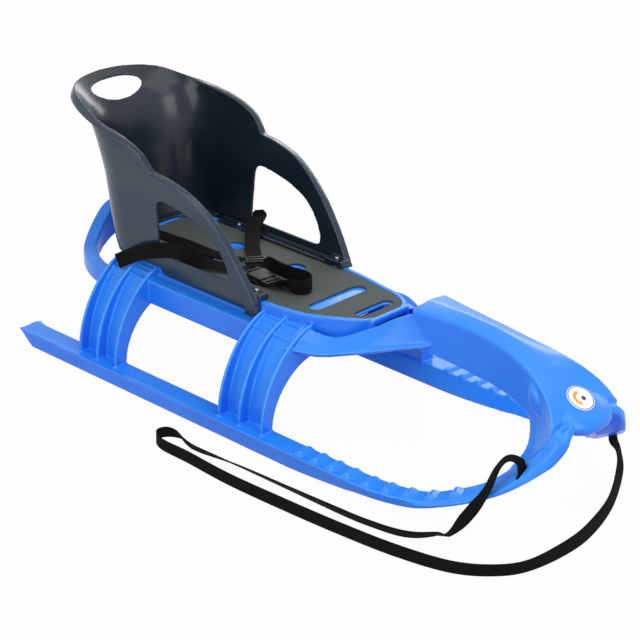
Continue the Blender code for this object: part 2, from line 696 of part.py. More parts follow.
def shell_wall():
    """The bucket's curved wall from one wing's tip round the back to the other."""
    columns = shell_half_columns()
    half = []
    for n, column in enumerate(columns):
        before = columns[max(n - 1, 0)]
        after = columns[min(n + 1, len(columns) - 1)]
        if n == 0:
            before, after = columns[0], ("back", 4.0)
        half.append(shell_column(column, before, after))
    return loft("back_shell", [flip(ring) for ring in reversed(half)] + half[1:])


def back_shell():
    """The seat shell with its windows, hand hole, foot flanges and front hooks."""
    shell = shell_wall()
    parts = []
    for side in (-1, 1):
        rings = []
        for x in (-0.330, -0.200, SHELL_FRONT_X - 0.006):
            out = through(SHELL_HALF, 0.174) - 0.5 * SHELL_WALL
            low = through(DECK_TOP, x) + 0.0015 + GAP
            rings.append([(x, side * (out - 0.017), low), (x, side * out, low), (x, side * out, FLANGE_TOP),
                          (x, side * (out - 0.017), FLANGE_TOP)])
        parts.append(loft(f"foot_flange_{side}", rings))
        low, high = sorted((side * 0.0865, side * 0.0905))
        parts.append(block(f"hook_{side}", (-0.101, low, LEDGE_Z + 0.0015), (-0.077, high, 0.160)))
        low, high = sorted((side * 0.0720, side * 0.0895))
        foot = through(DECK_TOP, -0.087) + 0.0020 + GAP
        parts.append(block(f"clip_{side}", (-0.104, low, foot), (-0.0705, high, CLIP_TOP)))
    combine(shell, parts)
    cutters = []
    for side in (-1, 1):
        rings = [[(x, side * y, z) for x, z in WINDOW] for y in (0.070, 0.140)]
        cutters.append(loft(f"window_{side}", rings))
        for n, x in enumerate(SHELL_SCREWS):
            cutters.append(rod(f"shell_screw_hole_{side}_{n}", (x, side * SHELL_SCREW_Y, 0.160), (0, 0, 1),
                               ((0.0, SCREW_SHANK + GAP), (0.03, SCREW_SHANK + GAP)), 12))
    up_wall = Vector((-math.sin(HAND_HOLE_LEAN), 0, math.cos(HAND_HOLE_LEAN)))
    through_wall = up_wall.cross(Vector((0, 1, 0)))
    rings = []
    for depth in (-0.022, 0.022):
        centre = Vector(HAND_HOLE) + through_wall * depth
        rings.append([tuple(centre + Vector((0, y, 0)) + up_wall * z)
                      for y, z in oval((0.0, 0.0), HAND_HOLE_WIDTH, HAND_HOLE_HEIGHT, 28)])
    cutters.append(loft("hand_hole", rings))
    combine(shell, cutters, "DIFFERENCE")
    return paint(shell, SHELL_NAVY)


SHELL_SCREWS = (-0.087, -0.290)
SHELL_SCREW_Y = 0.0800
HAND_HOLE = (-0.4700, 0.0, 0.3635)
HAND_HOLE_LEAN = math.radians(62)
HAND_HOLE_WIDTH = 0.092
HAND_HOLE_HEIGHT = 0.044
CLIP_TOP = 0.181
FLANGE_TOP = 0.1735
SCREW_TIP_Z = 0.1480


def seat_mat():
    """The ribbed foam mat in its recess, with openings over the deck's pockets."""
    mat = mat_solid("seat_mat", 0.0, -MAT_THICK + GAP, GAP)
    cutters = []
    for n, (centre, length, width) in enumerate(SLOTS):
        cutters.append(prism(f"mat_slot_{n}", capsule(centre, length, width), 0.15, 0.20))
    for n, centre in enumerate(oval_places()):
        cutters.append(prism(f"mat_oval_{n}", oval(centre, OVAL_LENGTH, OVAL_WIDTH), 0.15, 0.20))
    combine(mat, cutters, "DIFFERENCE")
    return paint(mat, MAT_GREY)


def small_metal():
    """The steel strips under the runners and their countersunk screws."""
    for side, label in ((-1, "right"), (1, "left")):
        strip = paint(loft(f"runner_strip_{label}", strip_rings(side, 0.0)), BARE_STEEL)
        cutters = []
        for n, x in enumerate(STRIP_SCREWS):
            low = through(SOLE_RISE, x) - SOLE_LIFT
            y = side * strip_y()
            spare = SCREW_HEAD + GAP
            cutters.append(rod(f"sink_{label}_{n}", (x, y, low - 0.001), (0, 0, 1),
                               ((0.0, spare), (0.0012, spare), (0.0031, SCREW_SHANK + GAP),
                                (0.006, SCREW_SHANK + GAP)), 12))
            screw = rod(f"strip_screw_{label}_{n + 1}", (x, y, low + 0.0002), (0, 0, 1),
                        ((0.0, SCREW_HEAD - 0.0002), (0.0016, SCREW_SHANK), (0.012, SCREW_SHANK),
                         (0.013, 0.0004)), 12)
            paint(screw, BARE_STEEL)
        combine(strip, cutters, "DIFFERENCE")
        for x, seat, place in zip(SHELL_SCREWS, (CLIP_TOP, FLANGE_TOP), ("front", "rear")):
            screw = rod(f"shell_screw_{label}_{place}", (x, side * SHELL_SCREW_Y, seat + GAP), (0, 0, 1),
                        ((0.0022, SCREW_HEAD - 0.0008), (0.0012, SCREW_HEAD), (0.0, SCREW_HEAD),
                         (-0.0001, SCREW_SHANK), (SCREW_TIP_Z - seat, SCREW_SHANK),
                         (SCREW_TIP_Z - seat - 0.001, 0.0004)), 12)
            paint(screw, BARE_STEEL)


def badge():
    """The round badge in its seat on the nose."""
    centre, normal = badge_frame()
    disc = rod("nose_badge", centre - normal * (BADGE_THICK - GAP), normal,
               ((0.0, BADGE_RADIUS), (BADGE_THICK - 0.0003, BADGE_RADIUS), (BADGE_THICK, BADGE_RADIUS - 0.0005)), 40)
    return paint(disc, BADGE_WHITE)


def ribbon(name, route, width, thick, steps, material):
    """Make a strap through (point, across) pairs; its width follows the across directions."""
    places = list(range(len(route)))
    rings = []
    for at in spread(0, len(route) - 1, steps):
        point = Vector([glide([p[k] for p, _ in route], at) for k in range(3)])
        ahead = Vector([glide([p[k] for p, _ in route], min(at + 0.05, places[-1])) for k in range(3)])
        behind = Vector([glide([p[k] for p, _ in route], max(at - 0.05, 0)) for k in range(3)])
        along = (ahead - behind).normalized()
        across = Vector([glide([a[k] for _, a in route], at) for k in range(3)])
        across = (across - along * across.dot(along)).normalized()
        face = along.cross(across)
        half, deep = width / 2, thick / 2
        corners = ((half, -deep), (half, deep), (-half, deep), (-half, -deep))
        rings.append([tuple(point + across * a + face * b) for a, b in corners])
    return paint(loft(name, rings), material)


def glide(values, at):
    """Read a Catmull-Rom curve through evenly numbered values."""
    i = min(int(at), len(values) - 2)
    t = at - i
    a, b = values[max(i - 1, 0)], values[i]
    c, d = values[i + 1], values[min(i + 2, len(values) - 1)]
    return b + 0.5 * t * (c - a + t * (2 * a - 5 * b + 4 * c - d + t * (3 * (b - c) + d - a)))


UPRIGHT = (0.0, 0.0, 1.0)


def side_belt(side):
    """Return the route of a lap belt from the rear leg's shoulder in through the shell's window."""
    return [
        ((-0.3450, side * 0.1180, 0.1500), (1.0, 0.0, 0.15)),
        ((-0.3280, side * 0.1155, 0.1660), (0.90, side * 0.2, 0.35)),
        ((-0.3060, side * 0.1110, 0.1815), (0.75, side * 0.30, 0.60)),
        ((-0.2800, side * 0.1060, 0.1960), (0.25, side * 0.10, 1.0)),
        ((-0.2590, side * 0.0980, 0.1990), (0.10, 0.0, 1.0)),
    ]


def belts():
    """The lap belt's three straps."""
    ribbon("belt_webbing_right", side_belt(-1) + [
        ((-0.2440, -0.0850, 0.1955), (0.20, 0.40, 0.85)),
        ((-0.2300, -0.0720, 0.1860), (0.30, 0.70, 0.50)),
        ((-0.2120, -0.0610, 0.1800), (0.35, 0.90, 0.10)),
        ((-0.1920, -0.0480, 0.1765), (0.40, 0.90, 0.0)),
        ((-0.1740, -0.0380, 0.1750), (0.25, 1.0, 0.0)),
        ((-0.1630, -0.0320, 0.1750), (0.12, 1.0, 0.0)),
        ((-0.1560, -0.0300, 0.1750), (0.1045, 0.9945, 0.0)),
    ], BELT_WIDTH, WEBBING, 34, WEB_BLACK)
    along = Vector((0.789, -0.614, 0.0))
    slide = Vector(SLIDER_PLACE)
    ribbon("belt_webbing_left", side_belt(1) + [
        ((-0.2490, 0.0830, 0.1975), (0.35, -0.2, 0.9)),
        ((-0.2390, 0.0660, 0.1905), (0.6, 0.3, 0.6)),
        ((-0.2270, 0.0480, 0.1800), (0.614, 0.789, 0.1)),
        (tuple(slide - along * 0.042), (0.614, 0.789, 0.0)),
        (tuple(slide - along * 0.032), (0.614, 0.789, 0.0)),
        (tuple(slide - along * 0.018), (0.614, 0.789, 0.0)),
        (tuple(slide), (0.614, 0.789, 0.0)),
        (tuple(slide + along * 0.0110), (0.614, 0.789, 0.0)),
    ], BELT_WIDTH, WEBBING, 40, WEB_BLACK)
    ribbon("belt_loop", [
        (tuple(slide + along * 0.0125), (0.614, 0.789, 0.0)),
        (tuple(slide + along * 0.0190), (0.60, 0.79, 0.05)),
        ((-0.1490, -0.0035, 0.1790), (0.25, 0.60, 0.70)),
        ((-0.1330, -0.0050, 0.1826), (0.0, 0.1, 1.0)),
        ((-0.1130, -0.0070, 0.1828), UPRIGHT),
        ((-0.0917, -0.0070, 0.1828), UPRIGHT),
        ((-0.0710, -0.0030, 0.1828), UPRIGHT),
        ((-0.0530, -0.0060, 0.1828), UPRIGHT),
        ((-0.0430, -0.0180, 0.1828), UPRIGHT),
        ((-0.0450, -0.0310, 0.1828), UPRIGHT),
        ((-0.0570, -0.0380, 0.1824), (0.0, -0.1, 1.0)),
        ((-0.0710, -0.0375, 0.1802), (-0.1, -0.5, 0.8)),
        ((-0.0840, -0.0362, 0.1760), (-0.1, -0.9, 0.2)),
        ((-0.0905, -0.0357, 0.1750), (-0.1, -1.0, 0.0)),
        ((-0.0945, -0.0354, 0.1750), (-0.1, -1.0, 0.0)),
    ], BELT_WIDTH, WEBBING, 48, WEB_BLACK)


def in_frame(place, degrees, boxes, name):
    """Make a solid from (low, high) boxes given in a turned frame."""
    turn = math.radians(degrees)
    made = []
    for n, (low, high) in enumerate(boxes):
        rings = []
        for x in (low[0], high[0]):
            ring = []
            for y, z in ((low[1], low[2]), (high[1], low[2]), (high[1], high[2]), (low[1], high[2])):
                ring.append((place[0] + x * math.cos(turn) - y * math.sin(turn),
                             place[1] + x * math.sin(turn) + y * math.cos(turn), place[2] + z))
            rings.append(ring)
        made.append(loft(f"{name}_{n}" if n else name, rings))
    return made


def buckle():
    """The side-release buckle: a sleeve, a plug and the plug's two spring arms."""
    half, long, tall, wall = BUCKLE_WIDTH / 2, BUCKLE_LENGTH / 2, BUCKLE_HEIGHT, BUCKLE_WALL
    inner = half - wall - 0.002
    place, turn = BUCKLE_PLACE, BUCKLE_TURN
    sleeve = in_frame(place, turn, [
        ((-long, -half, 0), (long, half, tall)),
        ((long - 0.001, -half + 0.001, 0.0015), (long + 0.0100, half - 0.001, tall - 0.0015)),
    ], "buckle_sleeve")
    combine(sleeve[0], sleeve[1:])
    cuts = in_frame(place, turn, [
        ((-long - 0.001, -inner, wall), (long - 0.0045, inner, tall - wall)),
        ((-0.0085, -half - 0.001, wall + 0.0004), (0.0074, half + 0.001, tall - wall - 0.0004)),
        ((long + 0.0018, -BELT_WIDTH / 2 - 0.001, -0.001), (long + 0.0062, BELT_WIDTH / 2 + 0.001, tall + 0.001)),
    ], "sleeve_cut")
    combine(sleeve[0], cuts, "DIFFERENCE")
    paint(sleeve[0], GLOSS_BLACK)
    root = -long - 0.0060
    low, high = wall + GAP, tall - wall - GAP
    plug = in_frame(place, turn, [
        ((root, -half + 0.001, 0.0015), (-long - GAP, half - 0.001, tall - 0.0015)),
        ((-long - 0.001, -0.0026, low), (long - 0.0060, 0.0026, high)),
        ((root - 0.0095, -half + 0.0014, 0.0018), (root + 0.0005, half - 0.0014, tall - 0.0018)),
    ], "buckle_plug")
    combine(plug[0], plug[1:])
    arm_y = inner - 0.0030
    cuts = in_frame(place, turn, [
        ((root - 0.0062, -BELT_WIDTH / 2 - 0.001, -0.001), (root - 0.0018, BELT_WIDTH / 2 + 0.001, tall + 0.001)),
        ((-long - 0.0030, arm_y - 0.0024, low - 0.0004), (-long + 0.001, arm_y + 0.0024, high + 0.0004)),
        ((-long - 0.0030, -arm_y - 0.0024, low - 0.0004), (-long + 0.001, -arm_y + 0.0024, high + 0.0004)),
    ], "plug_cut")
    combine(plug[0], cuts, "DIFFERENCE")
    paint(plug[0], GLOSS_BLACK)
    for side, label in ((-1, "left"), (1, "right")):
        y = side * arm_y
        outline = ((-long - 0.0026, y - side * 0.0014), (-0.0090, y - side * 0.0013), (0.0040, y + side * 0.0012),
                   (0.0055, y + side * 0.0040), (0.0050, y + side * 0.0066), (-0.0070, y + side * 0.0066),
                   (-0.0078, y + side * 0.0024), (-long + 0.0020, y + side * 0.0012),
                   (-long - 0.0026, y + side * 0.0012))
        spin = math.radians(turn)
        rings = []
        for z in (low + 0.0004, high - 0.0004):
            rings.append([(place[0] + a * math.cos(spin) - b * math.sin(spin),
                           place[1] + a * math.sin(spin) + b * math.cos(spin), place[2] + z) for a, b in outline])
        arm = paint(loft(f"buckle_arm_{label}", rings), GLOSS_BLACK)
        hinge_at(arm, (place[0] - long * math.cos(spin) - y * math.sin(spin),
                       place[1] - long * math.sin(spin) + y * math.cos(spin), place[2] + 0.5 * tall))


def slider():
    """The belt's flat slider with its two slots and middle bar."""
    turn = math.degrees(math.atan2(-0.614, 0.789))
    x, y, z = SLIDER_PLACE
    half = BELT_WIDTH / 2
    body = in_frame((x, y, z), turn, [((-0.0100, -half - 0.0035, -0.0028), (0.0100, half + 0.0035, 0.0028))],
                    "belt_slider")[0]
    cuts = in_frame((x, y, z), turn, [
        ((-0.0110, -half - 0.0005, -0.0012), (0.0110, half + 0.0005, 0.0012)),
        ((-0.0070, -half - 0.0009, -0.0040), (-0.0020, half + 0.0009, 0.0040)),
        ((0.0020, -half - 0.0009, -0.0040), (0.0070, half + 0.0009, 0.0040)),
    ], "slider_cut")
    combine(body, cuts, "DIFFERENCE")
    hinge_at(body, SLIDER_PLACE)
    paint(body, GLOSS_BLACK)


TOW_GROUND = (
    (0.3570, -0.1680, 20), (0.3490, -0.1830, 45), (0.3330, -0.2040, 55), (0.3080, -0.2170, 60),
    (0.2620, -0.2250, 60), (0.2200, -0.2280, 60), (0.1300, -0.2300, 50), (0.0360, -0.2320, 40),
    (-0.0360, -0.2350, 20), (-0.0600, -0.2350, 30), (-0.0880, -0.2300, 60), (-0.1060, -0.2370, 85),
    (-0.1080, -0.2530, 90), (-0.0840, -0.2660, 85), (-0.0290, -0.2670, 80), (0.0530, -0.2710, 80),
    (0.1500, -0.2680, 75), (0.2530, -0.2620, 75), (0.3450, -0.2520, 75), (0.4220, -0.2330, 80),
    (0.4680, -0.1990, 85), (0.4890, -0.1580, 85), (0.4910, -0.0860, 60), (0.4810, -0.0280, 60),
)


def tow_strap():
    """The tow strap: out of one slot, over the bumper, round on the ground and up to the other."""
    route = [
        ((SLOT_X, -SLOT_Y, STOP_BELOW - 0.0010), (0.0, -1.0, 0.0)),
        ((SLOT_X, -SLOT_Y, 0.0800), (0.0, -1.0, 0.0)),
        ((SLOT_X, -SLOT_Y, 0.0910), (0.0, -1.0, 0.0)),
        ((SLOT_X - 0.004, -SLOT_Y - 0.001, 0.1030), (0.15, -1.0, 0.0)),
        ((0.3970, -0.1000, 0.1050), (0.6, -0.6, 0.0)),
        ((0.3920, -0.1150, 0.0950), (0.8, -0.3, 0.4)),
        ((0.3890, -0.1350, 0.0650), (0.8, -0.1, 0.3)),
        ((0.3740, -0.1520, 0.0320), (0.7, 0.3, 0.2)),
    ]
    for n, (x, y, tilt) in enumerate(TOW_GROUND):
        lean = math.radians(tilt)
        ahead = TOW_GROUND[min(n + 1, len(TOW_GROUND) - 1)]
        before = TOW_GROUND[max(n - 1, 0)]
        along = Vector((ahead[0] - before[0], ahead[1] - before[1], 0)).normalized()
        flat = Vector((0, 0, 1)).cross(along)
        across = flat * math.cos(lean) + Vector((0, 0, 1)) * math.sin(lean)
        height = 0.5 * TOW_WIDTH * math.sin(lean) + 0.5 * TOW_THICK + 0.0012
        route.append(((x, y, height), tuple(across)))
    route += [
        ((0.4600, 0.0360, 0.0140), (-0.35, 0.0, 0.94)),
        ((0.4360, 0.0830, 0.0330), (-0.1, -0.7, 0.7)),
        ((SLOT_X + 0.010, SLOT_Y + 0.001, 0.0530), (0.3, -0.95, 0.3)),
        ((SLOT_X + 0.001, SLOT_Y, 0.0670), (0.0, -1.0, 0.0)),
        ((SLOT_X, SLOT_Y, 0.0780), (0.0, -1.0, 0.0)),
        ((SLOT_X, SLOT_Y, STOP_ABOVE + STOP_HEIGHT + 0.0010), (0.0, -1.0, 0.0)),
    ]
    ribbon("tow_strap", route, TOW_WIDTH, TOW_THICK, 120, WEB_BLACK)


def strap_stops():
    """The slotted stops that keep the tow strap's ends from pulling out of the bumper."""
    for side, label, base in ((-1, "right", STOP_BELOW), (1, "left", STOP_ABOVE)):
        x, y = SLOT_X, side * SLOT_Y
        wide, deep = STOP_LENGTH / 2, STOP_WIDTH / 2
        stop = block(f"strap_stop_{label}", (x - deep, y - wide, base), (x + deep, y + wide, base + STOP_HEIGHT))
        half, deep = TOW_WIDTH / 2 + GAP, TOW_THICK / 2 + GAP
        slit = block(f"stop_slit_{label}", (x - deep, y - half, base - 0.001),
                     (x + deep, y + half, base + STOP_HEIGHT + 0.001))
        combine(stop, [slit], "DIFFERENCE")
        paint(stop, GLOSS_BLACK)


# Start from an empty scene

for old in list(bpy.data.objects):
    bpy.data.objects.remove(old, do_unlink=True)

frame = bpy.data.objects.new("sledge", None)
frame.location = (DATUM_FORWARD, 0, 0)
bpy.context.collection.objects.link(frame)

BODY_BLUE = finish("blue moulding", BLUE, 0.32)
SHELL_NAVY = finish("dark moulding", NAVY, 0.18)
MAT_GREY = finish("grey foam", GREY, 0.85)
WEB_BLACK = finish("black webbing", BLACK, 0.8)
BARE_STEEL = finish("steel", STEEL, 0.35, 1.0)
BADGE_WHITE = finish("white print", WHITE, 0.3)
GLOSS_BLACK = finish("black moulding", BLACK, 0.3)

sled_body()
seat_mat()
back_shell()
small_metal()
badge()
belts()
buckle()
slider()
tow_strap()
strap_stops()
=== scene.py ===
# %% [markdown]
# # A child's seat sledge
#
# The sledge is one blue moulding on two runners.  A dark bucket seat is screwed on it, with
# a foam mat, a lap belt and a flat tow strap.  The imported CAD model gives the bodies, the
# joints and every place.  This script keeps those places and gives each piece its finer
# shape and its finish.  All lengths are in metres.
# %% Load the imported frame
import math

import bpy
import numpy as np
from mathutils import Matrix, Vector


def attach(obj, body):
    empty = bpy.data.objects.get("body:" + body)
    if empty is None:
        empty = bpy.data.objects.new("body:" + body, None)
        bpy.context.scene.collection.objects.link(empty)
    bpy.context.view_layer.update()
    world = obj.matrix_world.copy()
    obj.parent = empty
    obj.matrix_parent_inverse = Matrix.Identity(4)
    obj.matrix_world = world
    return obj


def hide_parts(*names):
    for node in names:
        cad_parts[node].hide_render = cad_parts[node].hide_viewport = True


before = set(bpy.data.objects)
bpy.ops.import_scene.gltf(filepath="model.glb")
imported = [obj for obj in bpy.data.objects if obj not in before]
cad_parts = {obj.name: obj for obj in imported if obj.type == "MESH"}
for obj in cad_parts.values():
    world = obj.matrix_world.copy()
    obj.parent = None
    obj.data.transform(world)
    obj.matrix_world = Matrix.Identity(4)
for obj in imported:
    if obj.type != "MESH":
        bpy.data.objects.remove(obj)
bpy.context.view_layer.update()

# %% [markdown]
# ## Camera
#
# The photograph was taken from the front right, about 25 degrees above the snow line, with
# a long lens.  The numbers were found by matching known corners of the sledge, so they are
# written down plainly instead of being computed here.
# %% Camera
CAMERA_PLACE = (2.25005, -2.29015, 1.61168)
CAMERA_TURN = (90 - 24.76935, 0.0, 44.72676)
CAMERA_LENS = 141.43886

eye = bpy.data.cameras.new("view")
eye.lens = CAMERA_LENS
eye.sensor_width = 36.0
camera = bpy.data.objects.new("view", eye)
camera.location = CAMERA_PLACE
camera.rotation_euler = [math.radians(turn) for turn in CAMERA_TURN]
bpy.context.collection.objects.link(camera)
bpy.context.scene.camera = camera
bpy.context.scene.view_settings.view_transform = "Standard"
print("camera", CAMERA_LENS, "mm at", CAMERA_PLACE)

# %% [markdown]
# ## Arithmetic for surfaces
#
# Every form below is worked out as whole arrays.  A smooth line through a few knots gives
# widths and heights, and a second kind of line, through points in space, carries straps.
# Blender's own curves could do both, but then a width could not be read at any place we like.
# The drawing's datum lies behind the ground's origin, so meshes move forward by one step.
# %% Smooth lines
FORWARD = np.array((0.0233, 0.0, 0.0))


def unit(v):
    """Scale vectors to length one."""
    return v / np.linalg.norm(v, axis=-1, keepdims=True)


def points(x, y, z):
    """Stack three coordinates, spread to a common shape, into points."""
    return np.stack(np.broadcast_arrays(x, y, z), axis=-1).astype(float)


def curve(knots, where):
    """Read a cubic through (place, value) knots; harmonic mean slopes keep it from overshooting."""
    place, value = np.array(knots, dtype=float).T
    where = np.clip(where, place[0], place[-1])
    slope = np.diff(value) / np.diff(place)
    product, total = slope[:-1] * slope[1:], slope[:-1] + slope[1:]
    inner = np.where(product > 0, 2 * product / np.where(product > 0, total, 1.0), 0.0)
    tangent = np.concatenate((slope[:1], inner, slope[-1:]))
    i = np.clip(np.searchsorted(place, where) - 1, 0, len(slope) - 1)
    span = np.diff(place)[i]
    t = (where - place[i]) / span
    return (value[i] * (1 + 2 * t) * (1 - t) ** 2 + tangent[i] * span * t * (1 - t) ** 2
            + value[i + 1] * t * t * (3 - 2 * t) - tangent[i + 1] * span * t * t * (1 - t))


def glide(rows, at):
    """Read a Catmull-Rom line through evenly numbered rows, at fractional row numbers."""
    rows = np.asarray(rows, dtype=float)
    i = np.clip(at.astype(int), 0, len(rows) - 2)
    t = (at - i)[:, None]
    a, b = rows[np.maximum(i - 1, 0)], rows[i]
    c, d = rows[i + 1], rows[np.minimum(i + 2, len(rows) - 1)]
    return b + 0.5 * t * (c - a + t * (2 * a - 5 * b + 4 * c - d + t * (3 * (b - c) + d - a)))


def loop(rows, count):
    """Read the same line closed round its rows, at count places."""
    at = np.linspace(1, len(rows) + 1, count, endpoint=False)
    return glide(np.concatenate((rows[-1:], rows, rows[:2])), at)


print("lines read at the middle:", round(float(curve(((0, 0), (1, 1)), 0.5)), 2))

# %% [markdown]
# ## From arrays to meshes
#
# A part is kept as three arrays: its points, the corners of its faces, and how many corners
# each face has.  It could be a Blender object from the start, but arrays are cheaper to join
# and to reflect, so a part becomes a mesh only where it is cut or finished.
# %% Parts and meshes


def skin(grid):
    """Cover a grid of rings: rows run along the part, columns close round it, both ends are capped."""
    rows, columns = grid.shape[:2]
    number = np.arange(rows * columns).reshape(rows, columns)
    side = np.roll(number, -1, axis=1)
    quads = np.stack((number[:-1], side[:-1], side[1:], number[1:]), axis=-1)
    corners = np.concatenate((quads.ravel(), number[0][::-1], number[-1]))
    sizes = np.concatenate((np.full(quads.size // 4, 4), (columns, columns)))
    return grid.reshape(-1, 3), corners, sizes


def gather(parts):
    """Put several parts into one, without joining their surfaces."""
    starts = np.cumsum([0] + [len(p[0]) for p in parts[:-1]])
    return (np.concatenate([p[0] for p in parts]),
            np.concatenate([p[1] + start for p, start in zip(parts, starts)]),
            np.concatenate([p[2] for p in parts]))


def volume(part):
    """Add up the signed tetrahedra from the origin to each face's fan of triangles."""
    at, corners, sizes = part
    starts = np.concatenate(([0], np.cumsum(sizes)[:-1]))
    total = 0.0
    for k in range(1, int(sizes.max()) - 1):
        has = sizes > k + 1
        a, b, c = (at[corners[starts[has] + j]] for j in (0, k, k + 1))
        total += float(np.einsum("ij,ij->", a, np.cross(b, c))) / 6
    return total


def outward(part):
    """Turn every face round if the part is inside out."""
    if volume(part) < 0:
        return part[0], part[1][::-1].copy(), part[2][::-1].copy()
    return part


def to_object(name, part, uv=None):
    """Make a mesh object of a part, moved from the drawing's datum to the ground's origin."""
    at, corners, sizes = part
    mesh = bpy.data.meshes.new(name)
    mesh.vertices.add(len(at))
    mesh.vertices.foreach_set("co", (at + FORWARD).ravel())
    mesh.loops.add(len(corners))
    mesh.loops.foreach_set("vertex_index", corners.astype(np.int32))
    mesh.polygons.add(len(sizes))
    starts = np.concatenate(([0], np.cumsum(sizes)[:-1]))
    mesh.polygons.foreach_set("loop_start", starts.astype(np.int32))
    mesh.update(calc_edges=True)
    if uv is not None:
        layer = mesh.uv_layers.new(name="cloth")
        layer.uv.foreach_set("vector", uv[corners].astype(np.float32).ravel())
    mesh.shade_smooth()
    made = bpy.data.objects.new(name, mesh)
    bpy.context.collection.objects.link(made)
    return made


def settle(thing):
    """Apply a piece's modifiers, so that only its mesh is left."""
    graph = bpy.context.evaluated_depsgraph_get()
    mesh = bpy.data.meshes.new_from_object(thing.evaluated_get(graph))
    old = thing.data
    thing.modifiers.clear()
    thing.data = mesh
    bpy.data.meshes.remove(old)
    return thing


def read(mesh):
    """Read a mesh back into a part, in the drawing's datum."""
    at = np.empty(len(mesh.vertices) * 3)
    corners = np.empty(len(mesh.loops), dtype=np.int32)
    sizes = np.empty(len(mesh.polygons), dtype=np.int32)
    mesh.vertices.foreach_get("co", at)
    mesh.loops.foreach_get("vertex_index", corners)
    mesh.polygons.foreach_get("loop_total", sizes)
    return at.reshape(-1, 3) - FORWARD, corners, sizes


def lift(thing):
    """Take a helper object's mesh as a part and remove the object."""
    part = read(thing.data)
    mesh = thing.data
    bpy.data.objects.remove(thing)
    bpy.data.meshes.remove(mesh)
    return part


print("a part is points, corners and sizes")

# %% [markdown]
# ## Forms used again and again
#
# Moulded plastic has no sharp corner.  A Bevel modifier could round finished meshes, but it
# fails where small faces meet, so each section's corners are rounded before it is drawn out.
# Plates, blocks, turned rods and slots then cover most of the sledge.
# %% Rounded sections and simple parts


def soften(ring, reach, steps=4):
    """Replace each corner of closed rings by a parabola that starts and ends at reach from it."""
    before, after = np.roll(ring, 1, axis=-2) - ring, np.roll(ring, -1, axis=-2) - ring
    far = [np.linalg.norm(v, axis=-1, keepdims=True) for v in (before, after)]
    near = [v / np.maximum(d, 1e-9) * np.minimum(reach, 0.45 * d) for v, d in zip((before, after), far)]
    t = np.linspace(0, 1, steps)[:, None]
    corner = ring[..., None, :]
    arc = corner + near[0][..., None, :] * (1 - t) ** 2 + near[1][..., None, :] * t ** 2
    return arc.reshape(*ring.shape[:-2], -1, ring.shape[-1])


def mirror(grid):
    """Reflect points to the sledge's other side."""
    return grid * (1, -1, 1)


def along_x(x, section):
    """Carry a section of (y, z) corners, plain or changing with x, forward as a grid of rings."""
    return np.stack([points(x, y, z) for y, z in section], axis=1)


def plate(outline, low, high, axis, reach=0.0):
    """Draw a flat outline out along one axis, between two values."""
    outline = np.asarray(outline, dtype=float)
    if reach:
        outline = soften(outline, reach)
    rings = [np.insert(outline, axis, level, axis=1) for level in (low, high)]
    return skin(np.array(rings))


def block(low, high):
    """Make a box between two corners."""
    (x0, y0, z0), (x1, y1, z1) = low, high
    return plate(((y0, z0), (y1, z0), (y1, z1), (y0, z1)), x0, x1, 0)


def turned(base, axis, profile, sides=48):
    """Turn (distance, radius) pairs round an axis that starts at base."""
    axis = unit(np.asarray(axis, dtype=float))
    across = unit(np.cross(axis, (0.31, 0.95, 0.12)))
    other = np.cross(axis, across)
    turn = np.linspace(0, math.tau, sides, endpoint=False)[:, None]
    round_it = np.cos(turn) * across + np.sin(turn) * other
    return skin(np.array([np.asarray(base) + axis * d + round_it * r for d, r in profile]))


def capsule(centre, length, width, count=24):
    """Give the plan of a slot with round ends, long across the sledge."""
    radius = width / 2
    turn = np.linspace(0, math.pi, count)
    side = np.stack((radius * np.cos(turn), length / 2 - radius + radius * np.sin(turn)), axis=-1)
    return np.concatenate((side, -side)) + centre


def oval(centre, length, width, count=56):
    """Give the plan of an ellipse."""
    turn = np.linspace(0, math.tau, count, endpoint=False)
    return np.stack((length / 2 * np.cos(turn), width / 2 * np.sin(turn)), axis=-1) + centre


def carve(part, cutters):
    """Cut solid parts out of a part with exact booleans."""
    thing = to_object("cut_piece", part)
    tools = [to_object("cutter", outward(cutter)) for cutter in cutters]
    for tool in tools:
        change = thing.modifiers.new("cut", "BOOLEAN")
        change.operation, change.solver, change.object = "DIFFERENCE", "EXACT", tool
    settle(thing)
    for tool in tools:
        lift(tool)
    return lift(thing)


print("a slot's plan has", len(capsule((0, 0), 0.1, 0.02)), "points")

# %% [markdown]
# ## Moulding
#
# A moulded piece is one skin whose parts flow into each other.  Joining dozens of ribs and
# rails with booleans alone leaves knife edges, so the parts are overlapped, wrapped in one
# fine voxel skin, eased by a few rounds of smoothing that keep the volume, and thinned.
# %% Wrap, ease and thin
MOST_TRIANGLES = 190000


def neighbour_mean(values, edges, count):
    """Average each vertex's neighbours, one coordinate at a time."""
    ends = np.concatenate((edges, edges[:, ::-1]))
    degree = np.maximum(np.bincount(ends[:, 0], minlength=count), 1)
    return np.stack([np.bincount(ends[:, 0], weights=values[ends[:, 1], k], minlength=count) / degree
                     for k in range(values.shape[1])], axis=-1)


def ease(mesh, rounds, push=0.53):
    """Smooth in pairs of steps, inward then outward, so that walls keep their thickness."""
    count = len(mesh.vertices)
    at = np.empty(count * 3)
    mesh.vertices.foreach_get("co", at)
    at = at.reshape(-1, 3)
    edges = np.empty(len(mesh.edges) * 2, dtype=np.int32)
    mesh.edges.foreach_get("vertices", edges)
    edges = edges.reshape(-1, 2)
    for _ in range(rounds):
        for step in (0.5, -push):
            at += step * (neighbour_mean(at, edges, count) - at)
    mesh.vertices.foreach_set("co", at.ravel())
    mesh.update()


